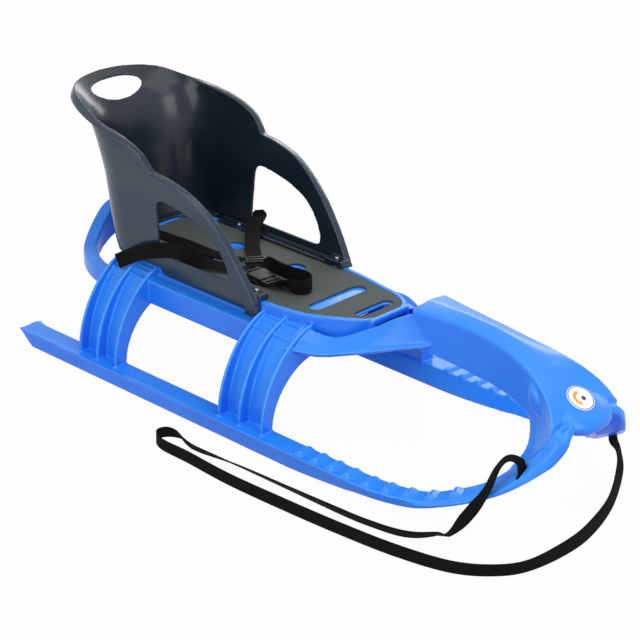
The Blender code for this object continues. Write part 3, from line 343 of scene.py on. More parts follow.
def mould(name, parts, voxel, triangles=MOST_TRIANGLES, rounds=8):
    """Wrap overlapping parts in one skin, ease it and thin it to a number of triangles."""
    thing = to_object(name, gather(parts))
    wrap = thing.modifiers.new("wrap", "REMESH")
    wrap.mode = "VOXEL"
    wrap.voxel_size = voxel * 1.0
    settle(thing)
    ease(thing.data, rounds)
    dense = 2 * len(thing.data.polygons)
    if dense > triangles:
        thin = thing.modifiers.new("thin", "DECIMATE")
        thin.ratio = triangles / dense
        settle(thing)
    thing.data.shade_smooth()
    print(f"{name}: {dense} triangles wrapped, {len(thing.data.polygons)} faces kept")
    return thing


print("a moulding keeps at most", MOST_TRIANGLES, "triangles")

# %% [markdown]
# ## The tow strap
#
# The strap is 16.5 mm flat webbing.  Its ends pass through the two slots of the bumper, and
# between them it lies on the ground: out along the right runner, back in a bend, and round
# the nose.  The photograph shows it from end to end.  A simulation could drop it, but the
# route is known point by point, so a ribbon is drawn through those points instead.
# %% A flat strap's surface
SELVEDGE_SHARE = np.array((-1.0, -0.94, -0.7, -0.35, 0.0, 0.35, 0.7, 0.94, 1.0))
SELVEDGE_DEPTH = np.array((0.45, 0.92, 1.0, 0.96, 0.96, 0.96, 1.0, 0.92, 0.45))


def length_of(line):
    """Add up the steps of a line of points."""
    return float(np.linalg.norm(np.diff(line, axis=0), axis=1).sum())


def strap(route, width, thick, steps):
    """Carry a flat section, thinner at its selvedges, along (point, across) rows; return part, UV, line."""
    route = np.array([(*p, *a) for p, a in route], dtype=float)
    at = np.linspace(0, len(route) - 1, steps)
    line = glide(route[:, :3], at)
    ahead, behind = (glide(route[:, :3], np.clip(at + shift, 0, len(route) - 1)) for shift in (0.05, -0.05))
    along = unit(ahead - behind)
    across = glide(route[:, 3:], at)
    across = unit(across - along * np.sum(along * across, axis=1, keepdims=True))
    face = np.cross(along, across)
    wide = np.concatenate((SELVEDGE_SHARE, SELVEDGE_SHARE[::-1])) * width / 2
    high = np.concatenate((SELVEDGE_DEPTH, -SELVEDGE_DEPTH)) * thick / 2
    grid = line[:, None] + across[:, None] * wide[:, None] + face[:, None] * high[:, None]
    run = np.concatenate(([0], np.cumsum(np.linalg.norm(np.diff(line, axis=0), axis=1))))
    uv = np.stack(np.broadcast_arrays(wide[None, :], run[:, None]), axis=-1).reshape(-1, 2)
    return skin(grid), uv, line


print("a strap's section has", 2 * len(SELVEDGE_SHARE), "points")

# %% The tow strap's route
# A row of TOW_GROUND is (x, y, lean): the lean from flat, in degrees, of the strap as it lies.
TOW_WIDTH, TOW_THICK, TOW_RIDE = 0.0165, 0.0022, 0.0012
SLOT_X, SLOT_Y = 0.4140, 0.0930
STOP_BELOW, STOP_ABOVE, STOP_HEIGHT = 0.0725, 0.0831, 0.0045
TOW_GROUND = np.array((
    (0.3570, -0.1680, 20), (0.3490, -0.1830, 45), (0.3330, -0.2040, 55), (0.3080, -0.2170, 60),
    (0.2620, -0.2250, 60), (0.2200, -0.2280, 60), (0.1300, -0.2300, 50), (0.0360, -0.2320, 40),
    (-0.0360, -0.2350, 20), (-0.0600, -0.2350, 30), (-0.0880, -0.2300, 60), (-0.1060, -0.2370, 85),
    (-0.1080, -0.2530, 90), (-0.0840, -0.2660, 85), (-0.0290, -0.2670, 80), (0.0530, -0.2710, 80),
    (0.1500, -0.2680, 75), (0.2530, -0.2620, 75), (0.3450, -0.2520, 75), (0.4220, -0.2330, 80),
    (0.4680, -0.1990, 85), (0.4890, -0.1580, 85), (0.4910, -0.0860, 60), (0.4810, -0.0280, 60),
))


def tow_route():
    """Points and width directions: right slot, over the bumper, along the ground, left slot."""
    lean = np.radians(TOW_GROUND[:, 2])
    place = TOW_GROUND[:, :2]
    along = unit(np.concatenate((place[1:], place[-1:])) - np.concatenate((place[:1], place[:-1])))
    across = points(-along[:, 1] * np.cos(lean), along[:, 0] * np.cos(lean), np.sin(lean))
    height = 0.5 * TOW_WIDTH * np.sin(lean) + 0.5 * TOW_THICK + TOW_RIDE
    ground = [((x, y, z), tuple(a)) for (x, y), z, a in zip(place, height, across)]
    start = [
        ((SLOT_X, -SLOT_Y, STOP_BELOW - 0.0010), (0.0, -1.0, 0.0)),
        ((SLOT_X, -SLOT_Y, 0.0800), (0.0, -1.0, 0.0)),
        ((SLOT_X, -SLOT_Y, 0.0910), (0.0, -1.0, 0.0)),
        ((SLOT_X - 0.004, -SLOT_Y - 0.001, 0.1030), (0.15, -1.0, 0.0)),
        ((0.3970, -0.1000, 0.1050), (0.6, -0.6, 0.0)),
        ((0.3920, -0.1150, 0.0950), (0.8, -0.3, 0.4)),
        ((0.3890, -0.1350, 0.0650), (0.8, -0.1, 0.3)),
        ((0.3740, -0.1520, 0.0320), (0.7, 0.3, 0.2)),
    ]
    end = [
        ((0.4600, 0.0360, 0.0140), (-0.35, 0.0, 0.94)),
        ((0.4360, 0.0830, 0.0330), (-0.1, -0.7, 0.7)),
        ((SLOT_X + 0.010, SLOT_Y + 0.001, 0.0530), (0.3, -0.95, 0.3)),
        ((SLOT_X + 0.001, SLOT_Y, 0.0670), (0.0, -1.0, 0.0)),
        ((SLOT_X, SLOT_Y, 0.0780), (0.0, -1.0, 0.0)),
        ((SLOT_X, SLOT_Y, STOP_ABOVE + STOP_HEIGHT + 0.0010), (0.0, -1.0, 0.0)),
    ]
    return start + ground + end


print("tow strap's route has", len(tow_route()), "points")

# %% The tow strap
part, uv, tow_line = strap(tow_route(), TOW_WIDTH, TOW_THICK, 900)
tow_webbing = to_object("tow_webbing", outward(part), uv)
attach(tow_webbing, "sledge")
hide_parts("tow_strap")
(tow_line[::6] + FORWARD).tolist()
print(f"tow strap {length_of(tow_line):.3f} m long")

# %% [markdown]
# ## The blue moulding: runners and bumper
#
# Both runners and the round bumper are one bent bar.  A curve with a bevel profile would
# carry one section, but here it turns, sinks and widens on its way round the nose.  So four
# corners are worked out at every place, outer sole, rim, inner edge and keel, and the section
# is built from them, which keeps the rim's lip and the keel's slope right through the bend.
# %% Sizes of the bar
HALF_WIDTH, LIP = 0.1834, 0.0026
RUNNER_WIDTH, RUNNER_HEIGHT, KEEL_SLOPE, SOLE_LIFT = 0.0354, 0.0265, 0.0116, 0.0008
TAIL_X, TURN_X, NOSE_REACH, NOSE_TUCK = -0.4915, 0.200, 0.275, 0.030
SOLE_RISE = ((TAIL_X, 0.0232), (-0.470, 0.0045), (-0.463, SOLE_LIFT), (0.060, SOLE_LIFT),
             (0.180, 0.0076), (TURN_X, 0.0105))
NOSE_RISE = ((0, 0.0105), (19, 0.018), (31, 0.033), (48, 0.061), (57, 0.0810), (60, 0.0880),
             (63, 0.0950), (66, 0.1020), (69, 0.1128), (72, 0.1245), (75, 0.1375), (82, 0.1440),
             (90, 0.1500))
RIM_RISE = ((0, 0.0265), (24, 0.032), (36, 0.044), (48, 0.062), (57, 0.0825), (60, 0.0900),
            (63, 0.1004), (66, 0.1135), (69, 0.1345), (71, 0.1420), (78, 0.1465), (90, 0.1560))
TUCK_SHARE = ((0, 0.0), (69, 0.0), (72, 0.05), (75, 0.23), (78, 0.43), (82, 0.67), (90, 1.0))
RIM_REACH = ((0, 0.243), (57, 0.243), (63, 0.247), (66, 0.2495), (70, 0.2543), (74, 0.2500),
             (82, 0.2440), (90, 0.2400))
BAND_WIDTH = ((0, RUNNER_WIDTH), (35, 0.032), (60, 0.036), (90, 0.044))
BAND_DROP = ((0, 0.0), (35, 0.001), (60, 0.012), (90, 0.022))
BUMPER_BULGE = ((0, 0.0004), (30, 0.003), (60, 0.006), (90, 0.007))


def straight_corners(x):
    """Give outer sole, rim, inner edge and keel at places along the straight runner."""
    rise = curve(SOLE_RISE, x)
    rim_y, inner_y = HALF_WIDTH + LIP, HALF_WIDTH + LIP - RUNNER_WIDTH
    return np.stack((points(x, HALF_WIDTH, rise), points(x, rim_y, RUNNER_HEIGHT),
                     points(x, inner_y, RUNNER_HEIGHT), points(x, inner_y - KEEL_SLOPE, rise)), axis=1)


def bumper_corners(degrees):
    """Give the same corners on two ellipses: 0 where the bumper leaves the runner, 90 at the nose."""
    turn = np.radians(degrees)
    rim_half = HALF_WIDTH + LIP
    reach = NOSE_REACH - NOSE_TUCK * curve(TUCK_SHARE, degrees)
    rim_reach = curve(RIM_REACH, degrees)
    outer = points(TURN_X + reach * np.sin(turn), HALF_WIDTH * np.cos(turn), curve(NOSE_RISE, degrees))
    rim = points(TURN_X + rim_reach * np.sin(turn), rim_half * np.cos(turn), curve(RIM_RISE, degrees))
    inward = unit(points(-np.sin(turn) / rim_reach, -np.cos(turn) / rim_half, 0.0))
    inner = rim + inward * curve(BAND_WIDTH, degrees)[:, None]
    inner[:, 2] -= curve(BAND_DROP, degrees)
    keel = inner + (outer - rim) + inward * ((KEEL_SLOPE - LIP) * np.cos(turn))[:, None]
    for line in (inner, keel):
        line[:, 1] = np.maximum(line[:, 1], 0.0)
    return np.stack((outer, rim, inner, keel), axis=1)


def bar_section(corners, bulge):
    """Build the section: rounded sole edge, bulging wall, overhanging lip, top band and keel."""
    outer, rim, inner, keel = np.moveaxis(corners, 1, 0)
    up, under, across, down = (unit(v) for v in (rim - outer, keel - outer, inner - rim, keel - inner))
    height = np.linalg.norm(rim - outer, axis=1, keepdims=True)
    swell = unit(np.cross(np.cross(up, under), up)) * -np.asarray(bulge)[..., None]
    lip = np.minimum(0.006, 0.4 * height)
    return np.stack((
        outer + under * 0.0035,
        outer + up * np.minimum(0.003, 0.3 * height),
        (outer + rim) / 2 + swell + across * 0.4 * LIP,
        rim - up * lip + across * 0.8 * LIP + swell * 0.6,
        rim - up * 0.6 * lip,
        rim - up * 0.1 * lip,
        rim + across * 0.0030,
        rim + across * 0.0052 + down * 0.0013,
        inner - across * 0.0015,
        inner + down * np.minimum(0.0015, 0.3 * height),
        keel,
    ), axis=1)


# %% The bent bar with its strap slots and strip grooves
# FIT is the clearance round a piece in its seat.
STRIP_WIDTH, STRIP_THICK, STRIP_Y, STRIP_ENDS = 0.010, 0.0026, 0.1474, (-0.440, 0.150)
SLOT_LONG, SLOT_WIDE, FIT = 0.023, 0.006, 0.0003


def strip_groove(side):
    """Give the groove that a steel strip sits in, along one runner's sole."""
    x = np.linspace(STRIP_ENDS[0] - FIT, STRIP_ENDS[1] + FIT, 40)
    sole = curve(SOLE_RISE, x) - SOLE_LIFT
    low, high = sole - 0.002, sole + STRIP_THICK + FIT
    near, far = (side * STRIP_Y + half for half in (-STRIP_WIDTH / 2 - FIT, STRIP_WIDTH / 2 + FIT))
    return skin(along_x(x, ((near, low), (far, low), (far, high), (near, high))))


def strap_slot(side):
    """Give the upright slot through the bumper for one end of the tow strap."""
    return plate(capsule((SLOT_X, side * SLOT_Y), SLOT_LONG, SLOT_WIDE), 0.050, 0.130, 2)


def stop_pocket(side):
    """Give the pocket that hides the strap's stop, from below at the right and above at the left."""
    low, high = (0.045, STOP_BELOW + STOP_HEIGHT + FIT) if side < 0 else (STOP_ABOVE - FIT, 0.140)
    wide, deep = 0.0122, 0.0059
    return block((SLOT_X - deep, side * SLOT_Y - wide, low), (SLOT_X + deep, side * SLOT_Y + wide, high))


def bent_bar():
    """Run the section from one tail round the nose to the other tail, then cut slots and grooves."""
    x = np.concatenate((np.linspace(TAIL_X, -0.455, 24), np.linspace(-0.450, TURN_X - 0.004, 150)))
    turn = np.linspace(0, 90, 120)
    half = np.concatenate((bar_section(straight_corners(x), np.zeros(len(x))),
                           bar_section(bumper_corners(turn), curve(BUMPER_BULGE, turn))))
    grid = soften(np.concatenate((mirror(half[:-1]), half[::-1])), 0.0030)
    cutters = [cut(side) for cut in (strap_slot, stop_pocket, strip_groove) for side in (-1, 1)]
    return carve(outward(skin(grid)), cutters)


bar = bent_bar()
print("bar", len(bar[0]), "points,", round(abs(volume(bar)) * 1000, 2), "litres")

# %% [markdown]
# ## The blue moulding: legs
#
# Each leg is a bowed web with three outer ribs that carries the deck on a runner.  It could
# be one solid with pockets cut in, but web and ribs are plates of one thickness on the real
# sledge.  One superellipse gives every bow, so the plates stay parallel, and the notches
# between the ribs come by themselves.
# %% Legs
LEG_CENTRE_Y, LEG_CENTRE_Z, LEG_POWER = 0.069, 0.030, 1.8
LEDGE_HALF, LEDGE_Z, SKIRT_Z, WALL = 0.107, 0.143, 0.107, 0.004
RIB_THICK, WEB_THICK, BOW_END = 0.0044, 0.003, 86
RIB_OUTSIDE, RIB_INSIDE, WEB_OUTSIDE = (0.105, 0.132), (0.083, 0.085), (0.088, 0.125)
SHOULDERS = ((0.0760, 0.0900, 0.1525), (0.0890, 0.0965, 0.1490))
REAR_RIBS = (-0.3645, -0.3266, -0.2869)
FRONT_RIBS = (-0.0683, -0.0280, 0.0163)


def bow(across, up, start, end, count=60):
    """Give (y, z) on a superellipse; 0 degrees is at the runner, 90 under the deck."""
    turn = np.radians(np.linspace(start, end, count))
    return np.stack((LEG_CENTRE_Y + across * np.cos(turn) ** (2 / LEG_POWER),
                     LEG_CENTRE_Z + up * np.sin(turn) ** (2 / LEG_POWER)), axis=-1)


def bowed_plate(outer, inner, side, low, high):
    """Close two bows into an outline that stands in the runner, and draw it out along x."""
    foot = RUNNER_HEIGHT - 0.004
    outline = np.concatenate(([(outer[0, 0], foot)], outer, inner, [(inner[-1, 0], foot)]))
    return plate(outline * (side, 1), low, high, 0)


def leg(ribs, side):
    """Give a leg's three ribs, its web, its shoulder and the fillet outside the shoulder."""
    half = RIB_THICK / 2
    outer, inner = bow(*RIB_OUTSIDE, 0, BOW_END), bow(*RIB_INSIDE, BOW_END, 0)
    parts = [bowed_plate(outer, inner, side, x - half, x + half) for x in ribs]
    outer, inner = bow(*WEB_OUTSIDE, 0, BOW_END), bow(*(r - WEB_THICK for r in WEB_OUTSIDE), BOW_END, 0)
    parts.append(bowed_plate(outer, inner, side, ribs[0], ribs[-1]))
    for near, far, top in SHOULDERS:
        low, high = sorted((side * near, side * far))
        parts.append(block((ribs[0], low, LEDGE_Z - 0.0015), (ribs[-1], high, top)))
    return parts


legs = [p for side in (-1, 1) for ribs in (REAR_RIBS, FRONT_RIBS) for p in leg(ribs, side)]
print(len(legs), "leg parts")

# %% [markdown]
# ## The blue moulding: deck, rails and handle
#
# The deck is a tray with a rim that the mat lies in.  It could be traced as an outline, but
# a few half widths along the sledge give the tray and the mat from the same numbers, so the
# mat fits its seat.  Pockets are bowls pressed into the tray under the mat's openings.
# %% Plan of the deck
DECK_REAR_X, DECK_TIP_X, DECK_RIM, MAT_THICK = -0.388, 0.096, 0.0075, 0.003
SHELL_TURN_X, SHELL_POWER = -0.345, 2.6
MAT_REAR_X, MAT_FRONT_X, MAT_TIP_X, MAT_TIP_LONG = DECK_REAR_X + 0.006, 0.088, 0.074, 0.0165
MAT_HALF = ((DECK_REAR_X, 0.0765), (-0.100, 0.0775), (-0.070, 0.0775), (-0.015, 0.0715), (0.033, 0.0595),
            (0.062, 0.049), (0.080, 0.038), (0.088, 0.029))
DECK_TOP = ((DECK_REAR_X, 0.168), (-0.100, 0.169), (0.0, 0.1705), (0.060, 0.1765), (DECK_TIP_X, 0.178))
SLOTS = (((-0.007, 0.0), 0.106, 0.024), ((0.063, 0.0), 0.068, 0.019))
OVALS = [(x, side * y) for x, y in ((-0.1257, 0.0364), (-0.2465, 0.0318)) for side in (-1, 1)]
OVAL_LENGTH, OVAL_WIDTH = 0.030, 0.025
SLOT_FLOOR, OVAL_FLOOR, POCKET_TOP, POCKET_RADIUS, TRAY_EDGE = 0.1665, 0.1635, 0.190, 0.0030, 0.0015


def deck_half(x):
    """Half the deck's width, with superellipse corners behind the seat."""
    rear = np.maximum((SHELL_TURN_X - x) / (SHELL_TURN_X - DECK_REAR_X + 0.004), 0.0)
    return (curve(MAT_HALF, x) + DECK_RIM) * (1 - rear ** SHELL_POWER) ** (1 / SHELL_POWER)


def mat_half(x, spare):
    """Half the mat's width: the deck's less its rim, rounded off at the tip."""
    tip = np.clip((x - MAT_TIP_X) / MAT_TIP_LONG, 0, 1)
    return (deck_half(x) - DECK_RIM) * (1 - 0.92 * tip ** 4) ** 0.25 + spare


def mat_sheet(spare, low, high):
    """A sheet over the deck between two heights above its seat; spare grows its plan."""
    x = np.linspace(MAT_REAR_X - spare, MAT_FRONT_X + spare, 240)[:, None]
    half, top = mat_half(np.clip(x, MAT_REAR_X, MAT_FRONT_X), spare), curve(DECK_TOP, x)
    share = np.linspace(-1, 1, 33)
    across, up = np.concatenate((share, share[::-1])), np.repeat((0.0, 1.0), 33)
    return skin(points(x, half * across, top + low + (high - low) * up))


def bowl(plan, low, high):
    """A pocket's cutter: upright walls above, drawn in along a quarter circle to a flat bottom."""
    turn = np.linspace(0, math.pi / 2, 10)
    levels = np.concatenate(([high], low + POCKET_RADIUS * (1 - np.sin(turn))))
    inset = np.concatenate(([0.0], POCKET_RADIUS * (1 - np.cos(turn))))
    out = unit(plan - plan.mean(axis=0))
    rings = [np.insert(plan - out * step, 2, level, axis=1) for level, step in zip(levels, inset)]
    return skin(np.array(rings))


def tray():
    """The seat's tray, open below, with the mat's seat and all pockets cut into it."""
    x = np.linspace(DECK_REAR_X, DECK_TIP_X, 180)
    half, top, low = deck_half(x), curve(DECK_TOP, x) + TRAY_EDGE, LEDGE_Z - WALL
    right = ((half - TRAY_EDGE, top), (half, top - TRAY_EDGE), (half, low), (half - WALL, low),
             (half - WALL, top - 0.009))
    grid = along_x(x, [(-y, z) for y, z in right[3::-1]] + list(right) + [(-half + WALL, top - 0.009)])
    cutters = [mat_sheet(FIT, -MAT_THICK - FIT, 0.010)]
    cutters += [bowl(capsule(c, length - 0.005, width - 0.005), SLOT_FLOOR, POCKET_TOP)
                for c, length, width in SLOTS]
    cutters += [bowl(oval(c, OVAL_LENGTH - 0.004, OVAL_WIDTH - 0.004), OVAL_FLOOR, POCKET_TOP)
                for c in OVALS]
    return carve(outward(skin(grid)), [outward(c) for c in cutters])


deck = tray()
wall_half = float(deck_half(np.array([DECK_REAR_X]))[0]) - 0.001
deck_wall = block((DECK_REAR_X, -wall_half, LEDGE_Z - WALL + 0.0005), (DECK_REAR_X + WALL, wall_half, 0.163))
print("tray", len(deck[0]), "points")

# %% Ledges beside the deck, twisting front rails and screw posts
RAIL_TOP_Y = ((0.005, 0.083), (0.047, 0.071), (0.105, 0.052), (0.145, 0.040), (0.175, 0.0300))
RAIL_TOP_Z = ((0.005, 0.159), (0.047, 0.153), (0.105, 0.177), (0.145, 0.202), (0.175, 0.2170))
RAIL_LOW_Y = ((0.005, 0.1185), (0.045, 0.105), (0.0998, 0.080), (0.159, 0.050), (0.201, 0.0275))
RAIL_LOW_Z = ((0.005, 0.133), (0.045, 0.134), (0.0998, 0.145), (0.159, 0.161), (0.201, 0.1725))
RAIL_START_X, RAIL_TOP_LONG, RAIL_LOW_LONG = 0.005, 0.170, 0.196
LEDGE_START, SCREW_X, SCREW_Y = 0.0805, (-0.2900, -0.0870), 0.0800
POST_LOW, POST_TALL, POST_RADIUS = 0.1462, 0.0248, 0.0062


def side_rail(side):
    """The ledge beside the deck with the skirt that hangs from it."""
    under, inner = LEDGE_Z - WALL + 0.0005, LEDGE_HALF - WALL
    section = ((LEDGE_START, under), (LEDGE_START, LEDGE_Z), (LEDGE_HALF, LEDGE_Z),
               (LEDGE_HALF, SKIRT_Z), (inner, SKIRT_Z), (inner, under))
    x = np.linspace(REAR_RIBS[0] - 0.001, FRONT_RIBS[-1] + 0.001, 90)
    rise = 0.002 * (x - REAR_RIBS[0])
    return skin(soften(along_x(x, [(side * y, z + rise) for y, z in section]), 0.0018))


def front_rail(side):
    """A band whose top edge and beaded lower edge follow two lines that twist it to the bonnet."""
    share = np.linspace(0, 1, 110)[:, None]
    top_x, low_x = RAIL_START_X + share[:, 0] * RAIL_TOP_LONG, RAIL_START_X + share[:, 0] * RAIL_LOW_LONG
    top = points(top_x, curve(RAIL_TOP_Y, top_x), curve(RAIL_TOP_Z, top_x))
    low = points(low_x, curve(RAIL_LOW_Y, low_x), curve(RAIL_LOW_Z, low_x))
    down = unit(low - top)
    out = unit(np.cross(down, unit(np.array((1, -0.4, 0.15)))))
    out *= np.sign(out[:, 1:2])
    bead = out * 0.0024
    ring = (top, (top + low) / 2 + out * 0.003 * (1 - share), low - down * 0.0065,
            low - down * 0.0045 + bead, low - down * 0.001 + bead, low, low - out * WALL,
            top - out * WALL + down * 0.001)
    return skin(soften(np.stack(ring, axis=1), 0.0012) * (1, side, 1))


def front_floor():
    """The web that joins both front rails below the deck's tip."""
    x = np.linspace(0.010, 0.188, 60)
    half, low = curve(RAIL_LOW_Y, x) - 0.002, curve(RAIL_LOW_Z, x) + 0.0015
    section = ((-half, low), (half, low), (half - 0.004, low + WALL), (-half + 0.004, low + WALL))
    return skin(along_x(x, section))


def screw_post(x, y):
    """The round post in the deck's edge that takes one of the shell's screws."""
    return outward(turned((x, y, POST_LOW), (0.0, 0.0, 1.0), ((0.0, POST_RADIUS), (POST_TALL, POST_RADIUS))))


rails = [side_rail(-1), side_rail(1), front_rail(-1), front_rail(1), front_floor()]
rails += [screw_post(x, y) for x in SCREW_X for y in (-SCREW_Y, SCREW_Y)]
print(len(rails), "rail parts")

# %% The rear handle and the foot ridges
HANDLE_HALF = ((0.1190, -0.350, 0.133), (0.1130, -0.394, 0.134), (0.1000, -0.430, 0.135),
               (0.0810, -0.459, 0.138), (0.0600, -0.474, 0.150), (0.0400, -0.481, 0.166),
               (0.0200, -0.485, 0.180), (0.0, -0.487, 0.185))
HANDLE_WIDE, HANDLE_DEEP, HANDLE_HUMP_Z, HANDLE_CENTRE_X = 0.021, 0.026, 0.138, -0.38
RIDGE_HALF, RIDGE_SUNK, RIDGE_TALL = 0.0066, 0.0024, 0.0068
RIDGES_STRAIGHT = (0.0925, 0.1210, 0.1510, 0.1810)
RIDGES_TURNING = (4, 12, 20, 28.5, 37.5)
LEFT_RIDGE_X = 0.0640


def handle():
    """A bent bar behind the shell; it grows deeper where it humps up in the middle."""
    half = np.array(HANDLE_HALF)[:, (1, 0, 2)]
    route = glide(np.concatenate((half, mirror(half[::-1][1:]))), np.linspace(0, 14, 240))
    along = np.gradient(route, axis=0) * (1, 1, 0)
    out = unit(np.cross(along, (0, 0, 1)))
    out *= np.sign(np.sum(out * (route - (HANDLE_CENTRE_X, 0, 0)), axis=1, keepdims=True))
    depth = HANDLE_DEEP + 0.5 * np.maximum(route[:, 2] - HANDLE_HUMP_Z, 0)
    corners = ((0.0, 0.0), (0.0, -depth), (-HANDLE_WIDE, -depth), (-HANDLE_WIDE, 0.0))
    ring = [route + out * a + points(0.0, 0.0, b) for a, b in corners]
    return skin(soften(np.stack(ring, axis=1), 0.0045, 6))


def ridge(corners, side):
    """One low bar across the top band, from inside the lip to the inner edge, with a sine's arch."""
    rim, inner = corners[0, 1], corners[0, 2]
    across = unit(inner - rim)
    along = unit(np.cross((0, 0, 1), across))
    normal = np.cross(across, along)
    normal = normal * np.sign(normal[2])
    reach = np.linspace(0.0062, np.linalg.norm(inner - rim) - 0.0006, 20)
    turn = np.linspace(0, math.pi, 15)
    ends = np.sqrt(np.clip(1 - np.abs(np.linspace(-1, 1, 20)) ** 6, 0.05, 1))[:, None, None]
    rise = (-RIDGE_SUNK + RIDGE_TALL * np.sin(turn) ** 0.8)[:, None] * normal * ends
    arch = (-RIDGE_HALF * np.cos(turn))[:, None] * along + rise
    return skin((rim + across * reach[:, None, None] + arch) * (1, side, 1))


stands = [straight_corners(np.array([x])) for x in RIDGES_STRAIGHT]
stands += [bumper_corners(np.array([float(turn)])) for turn in RIDGES_TURNING]
ridges = [ridge(corners, side) for corners in stands for side in (-1, 1)]
ridges.append(ridge(straight_corners(np.array([LEFT_RIDGE_X])), 1))
print(len(ridges), "ridges under the feet")

# %% [markdown]
# ## The blue moulding: bonnet and nose
#
# The bonnet is an arched section with a softly rounded edge, open below.  The nose is a
# round tongue that hangs over the bumper and carries the badge in a shallow seat.  Both
# could be sculpted, but the photograph gives their outlines point by point, so lines of
# heights and half widths make surfaces that keep to it.
# %% Bonnet and nose
HOOD_START_X, HOOD_END_X = 0.165, 0.4374
HOOD_CROWN = ((0.165, 0.2222), (0.2260, 0.2228), (0.2680, 0.2213), (0.3140, 0.2158), (0.3545, 0.2066),
              (0.3875, 0.1930), (0.4110, 0.1782), (0.4280, 0.1664), (0.4374, 0.1590), (0.450, 0.150))
HOOD_EDGE = ((0.165, 0.2190), (0.2260, 0.2187), (0.2680, 0.2168), (0.3140, 0.2112), (0.3545, 0.2033),
             (0.3875, 0.1927), (0.4115, 0.1793), (0.4280, 0.1631), (0.4374, 0.1456))
HOOD_HALF = ((0.165, 0.0340), (0.1880, 0.0310), (0.2260, 0.0262), (0.2680, 0.0238), (0.3140, 0.0260),
             (0.3545, 0.0328), (0.3875, 0.0415), (0.4115, 0.0500), (0.4280, 0.0588), (0.4374, 0.0680))
HOOD_FOOT = ((0.165, 0.1645), (0.200, 0.1620), (0.220, 0.1595), (0.245, 0.1560), (0.270, 0.1535),
             (0.294, 0.1515), (0.330, 0.148), (0.360, 0.141), (0.383, 0.134), (0.410, 0.126),
             (0.450, 0.118))
HOOD_BULGE = ((0.165, 1.25), (0.300, 1.35), (0.360, 1.8), (0.430, 2.8))
NOSE_HALF, NOSE_CORE_X, NOSE_CORE_Z = 0.048, 0.400, 0.152
NOSE_SIDE = np.array(((0.375, 0.1970), (0.402, 0.1835), (0.428, 0.1683), (0.449, 0.1560), (0.4580, 0.1495),
                      (0.4635, 0.1420), (0.4640, 0.1350), (0.4600, 0.1300), (0.4500, 0.1285),
                      (0.420, 0.1340), (0.375, 0.160)))


def bonnet():
    """Draw the arch along the sledge: flanks, a rounded edge, a crown that falls off by a power."""
    x = np.linspace(HOOD_START_X, HOOD_END_X, 160)[:, None]
    lines = (HOOD_HALF, HOOD_EDGE, HOOD_CROWN, HOOD_FOOT, HOOD_BULGE)
    half, edge, crown, foot, power = (curve(knots, x) for knots in lines)
    share = np.linspace(1, 0, 14)
    top_y, top_z = (half - 0.004) * share, edge + (crown - edge) * (1 - share ** power)
    outer = np.concatenate((points(x, half + 0.0015, foot), points(x, half + 0.0006, (foot + edge) / 2),
                            points(x, half, edge - 0.0045), points(x, half - 0.0013, edge - 0.0013),
                            points(x, top_y, top_z)), axis=1)
    inner = np.concatenate((points(x, half - WALL, foot), points(x, half - WALL, edge - 0.009),
                            points(x, half * 0.5, edge - 0.007)), axis=1)
    grid = np.concatenate((mirror(outer), outer[:, ::-1][:, 1:], inner, mirror(inner[:, ::-1])), axis=1)
    return skin(grid)


def nose():
    """Shrink a rounded side profile towards both flanks with a superelliptic share."""
    profile = loop(NOSE_SIDE, 120)
    share = np.sin(np.linspace(-math.pi / 2, math.pi / 2, 61))
    size = ((1 - 0.93 * np.abs(share) ** 2.6) ** 0.45)[:, None]
    end = np.sqrt(np.clip(1 - (np.clip(np.abs(share) - 0.93, 0, 1) / 0.075) ** 2, 0.04, 1))[:, None]
    blunt = 0.6 + 0.4 * end
    x = NOSE_CORE_X + (profile[:, 0] - NOSE_CORE_X) * (0.35 + 0.65 * size) * blunt
    z = NOSE_CORE_Z + (profile[:, 1] - NOSE_CORE_Z) * (0.25 + 0.75 * size) * blunt
    return skin(points(x, NOSE_HALF * share[:, None], z))


print("bonnet from", HOOD_START_X, "to", HOOD_END_X, "m")

# %% The arms' inner shelves and the badge's seat
SHELF_OUTER = ((0.3840, 0.0340, 0.1820), (0.4080, 0.0430, 0.1650), (0.4250, 0.0560, 0.1480),
               (0.4320, 0.0650, 0.1310), (0.4270, 0.0740, 0.1170), (0.4180, 0.0840, 0.1010),
               (0.4060, 0.0950, 0.0840), (0.3900, 0.1070, 0.0680), (0.3700, 0.1200, 0.0545))
SHELF_INNER = ((0.3710, 0.0335, 0.1345), (0.3785, 0.0385, 0.1220), (0.3845, 0.0470, 0.1100),
               (0.3865, 0.0530, 0.1020), (0.3850, 0.0575, 0.0940), (0.3815, 0.0615, 0.0860),
               (0.3775, 0.0680, 0.0770), (0.3740, 0.0805, 0.0660), (0.3660, 0.0980, 0.0535))
SHELF_THICK, SHELF_SAG = 0.0042, 0.9
BADGE_CENTRE, BADGE_SLOPE = np.array((0.4300, 0.0, 0.1672)), math.atan2(0.0123, 0.0210)


def arm_shelf(side):
    """A sagging sheet between the arm's crease and its inner edge that carries the bonnet's flank on."""
    at = np.linspace(0, len(SHELF_OUTER) - 1, 90)
    outer, inner = glide(SHELF_OUTER, at), glide(SHELF_INNER, at)
    share = np.linspace(0, 1, 16)[None, :, None]
    sheet = outer[:, None] * (1 - share) + inner[:, None] * share
    drop = (outer - inner)[:, None, 2:]
    sheet = sheet - np.array((0, 0, 1)) * drop * SHELF_SAG * share * (1 - share)
    normal = unit(np.cross(np.gradient(sheet, axis=0), np.gradient(sheet, axis=1)))
    under = sheet + normal * np.sign(normal @ (0, -0.5, -1.0))[..., None] * SHELF_THICK
    grid = np.concatenate((sheet, under[:, ::-1]), axis=1) * (1, side, 1)
    return carve(outward(skin(grid)), [strap_slot(side), stop_pocket(side)])


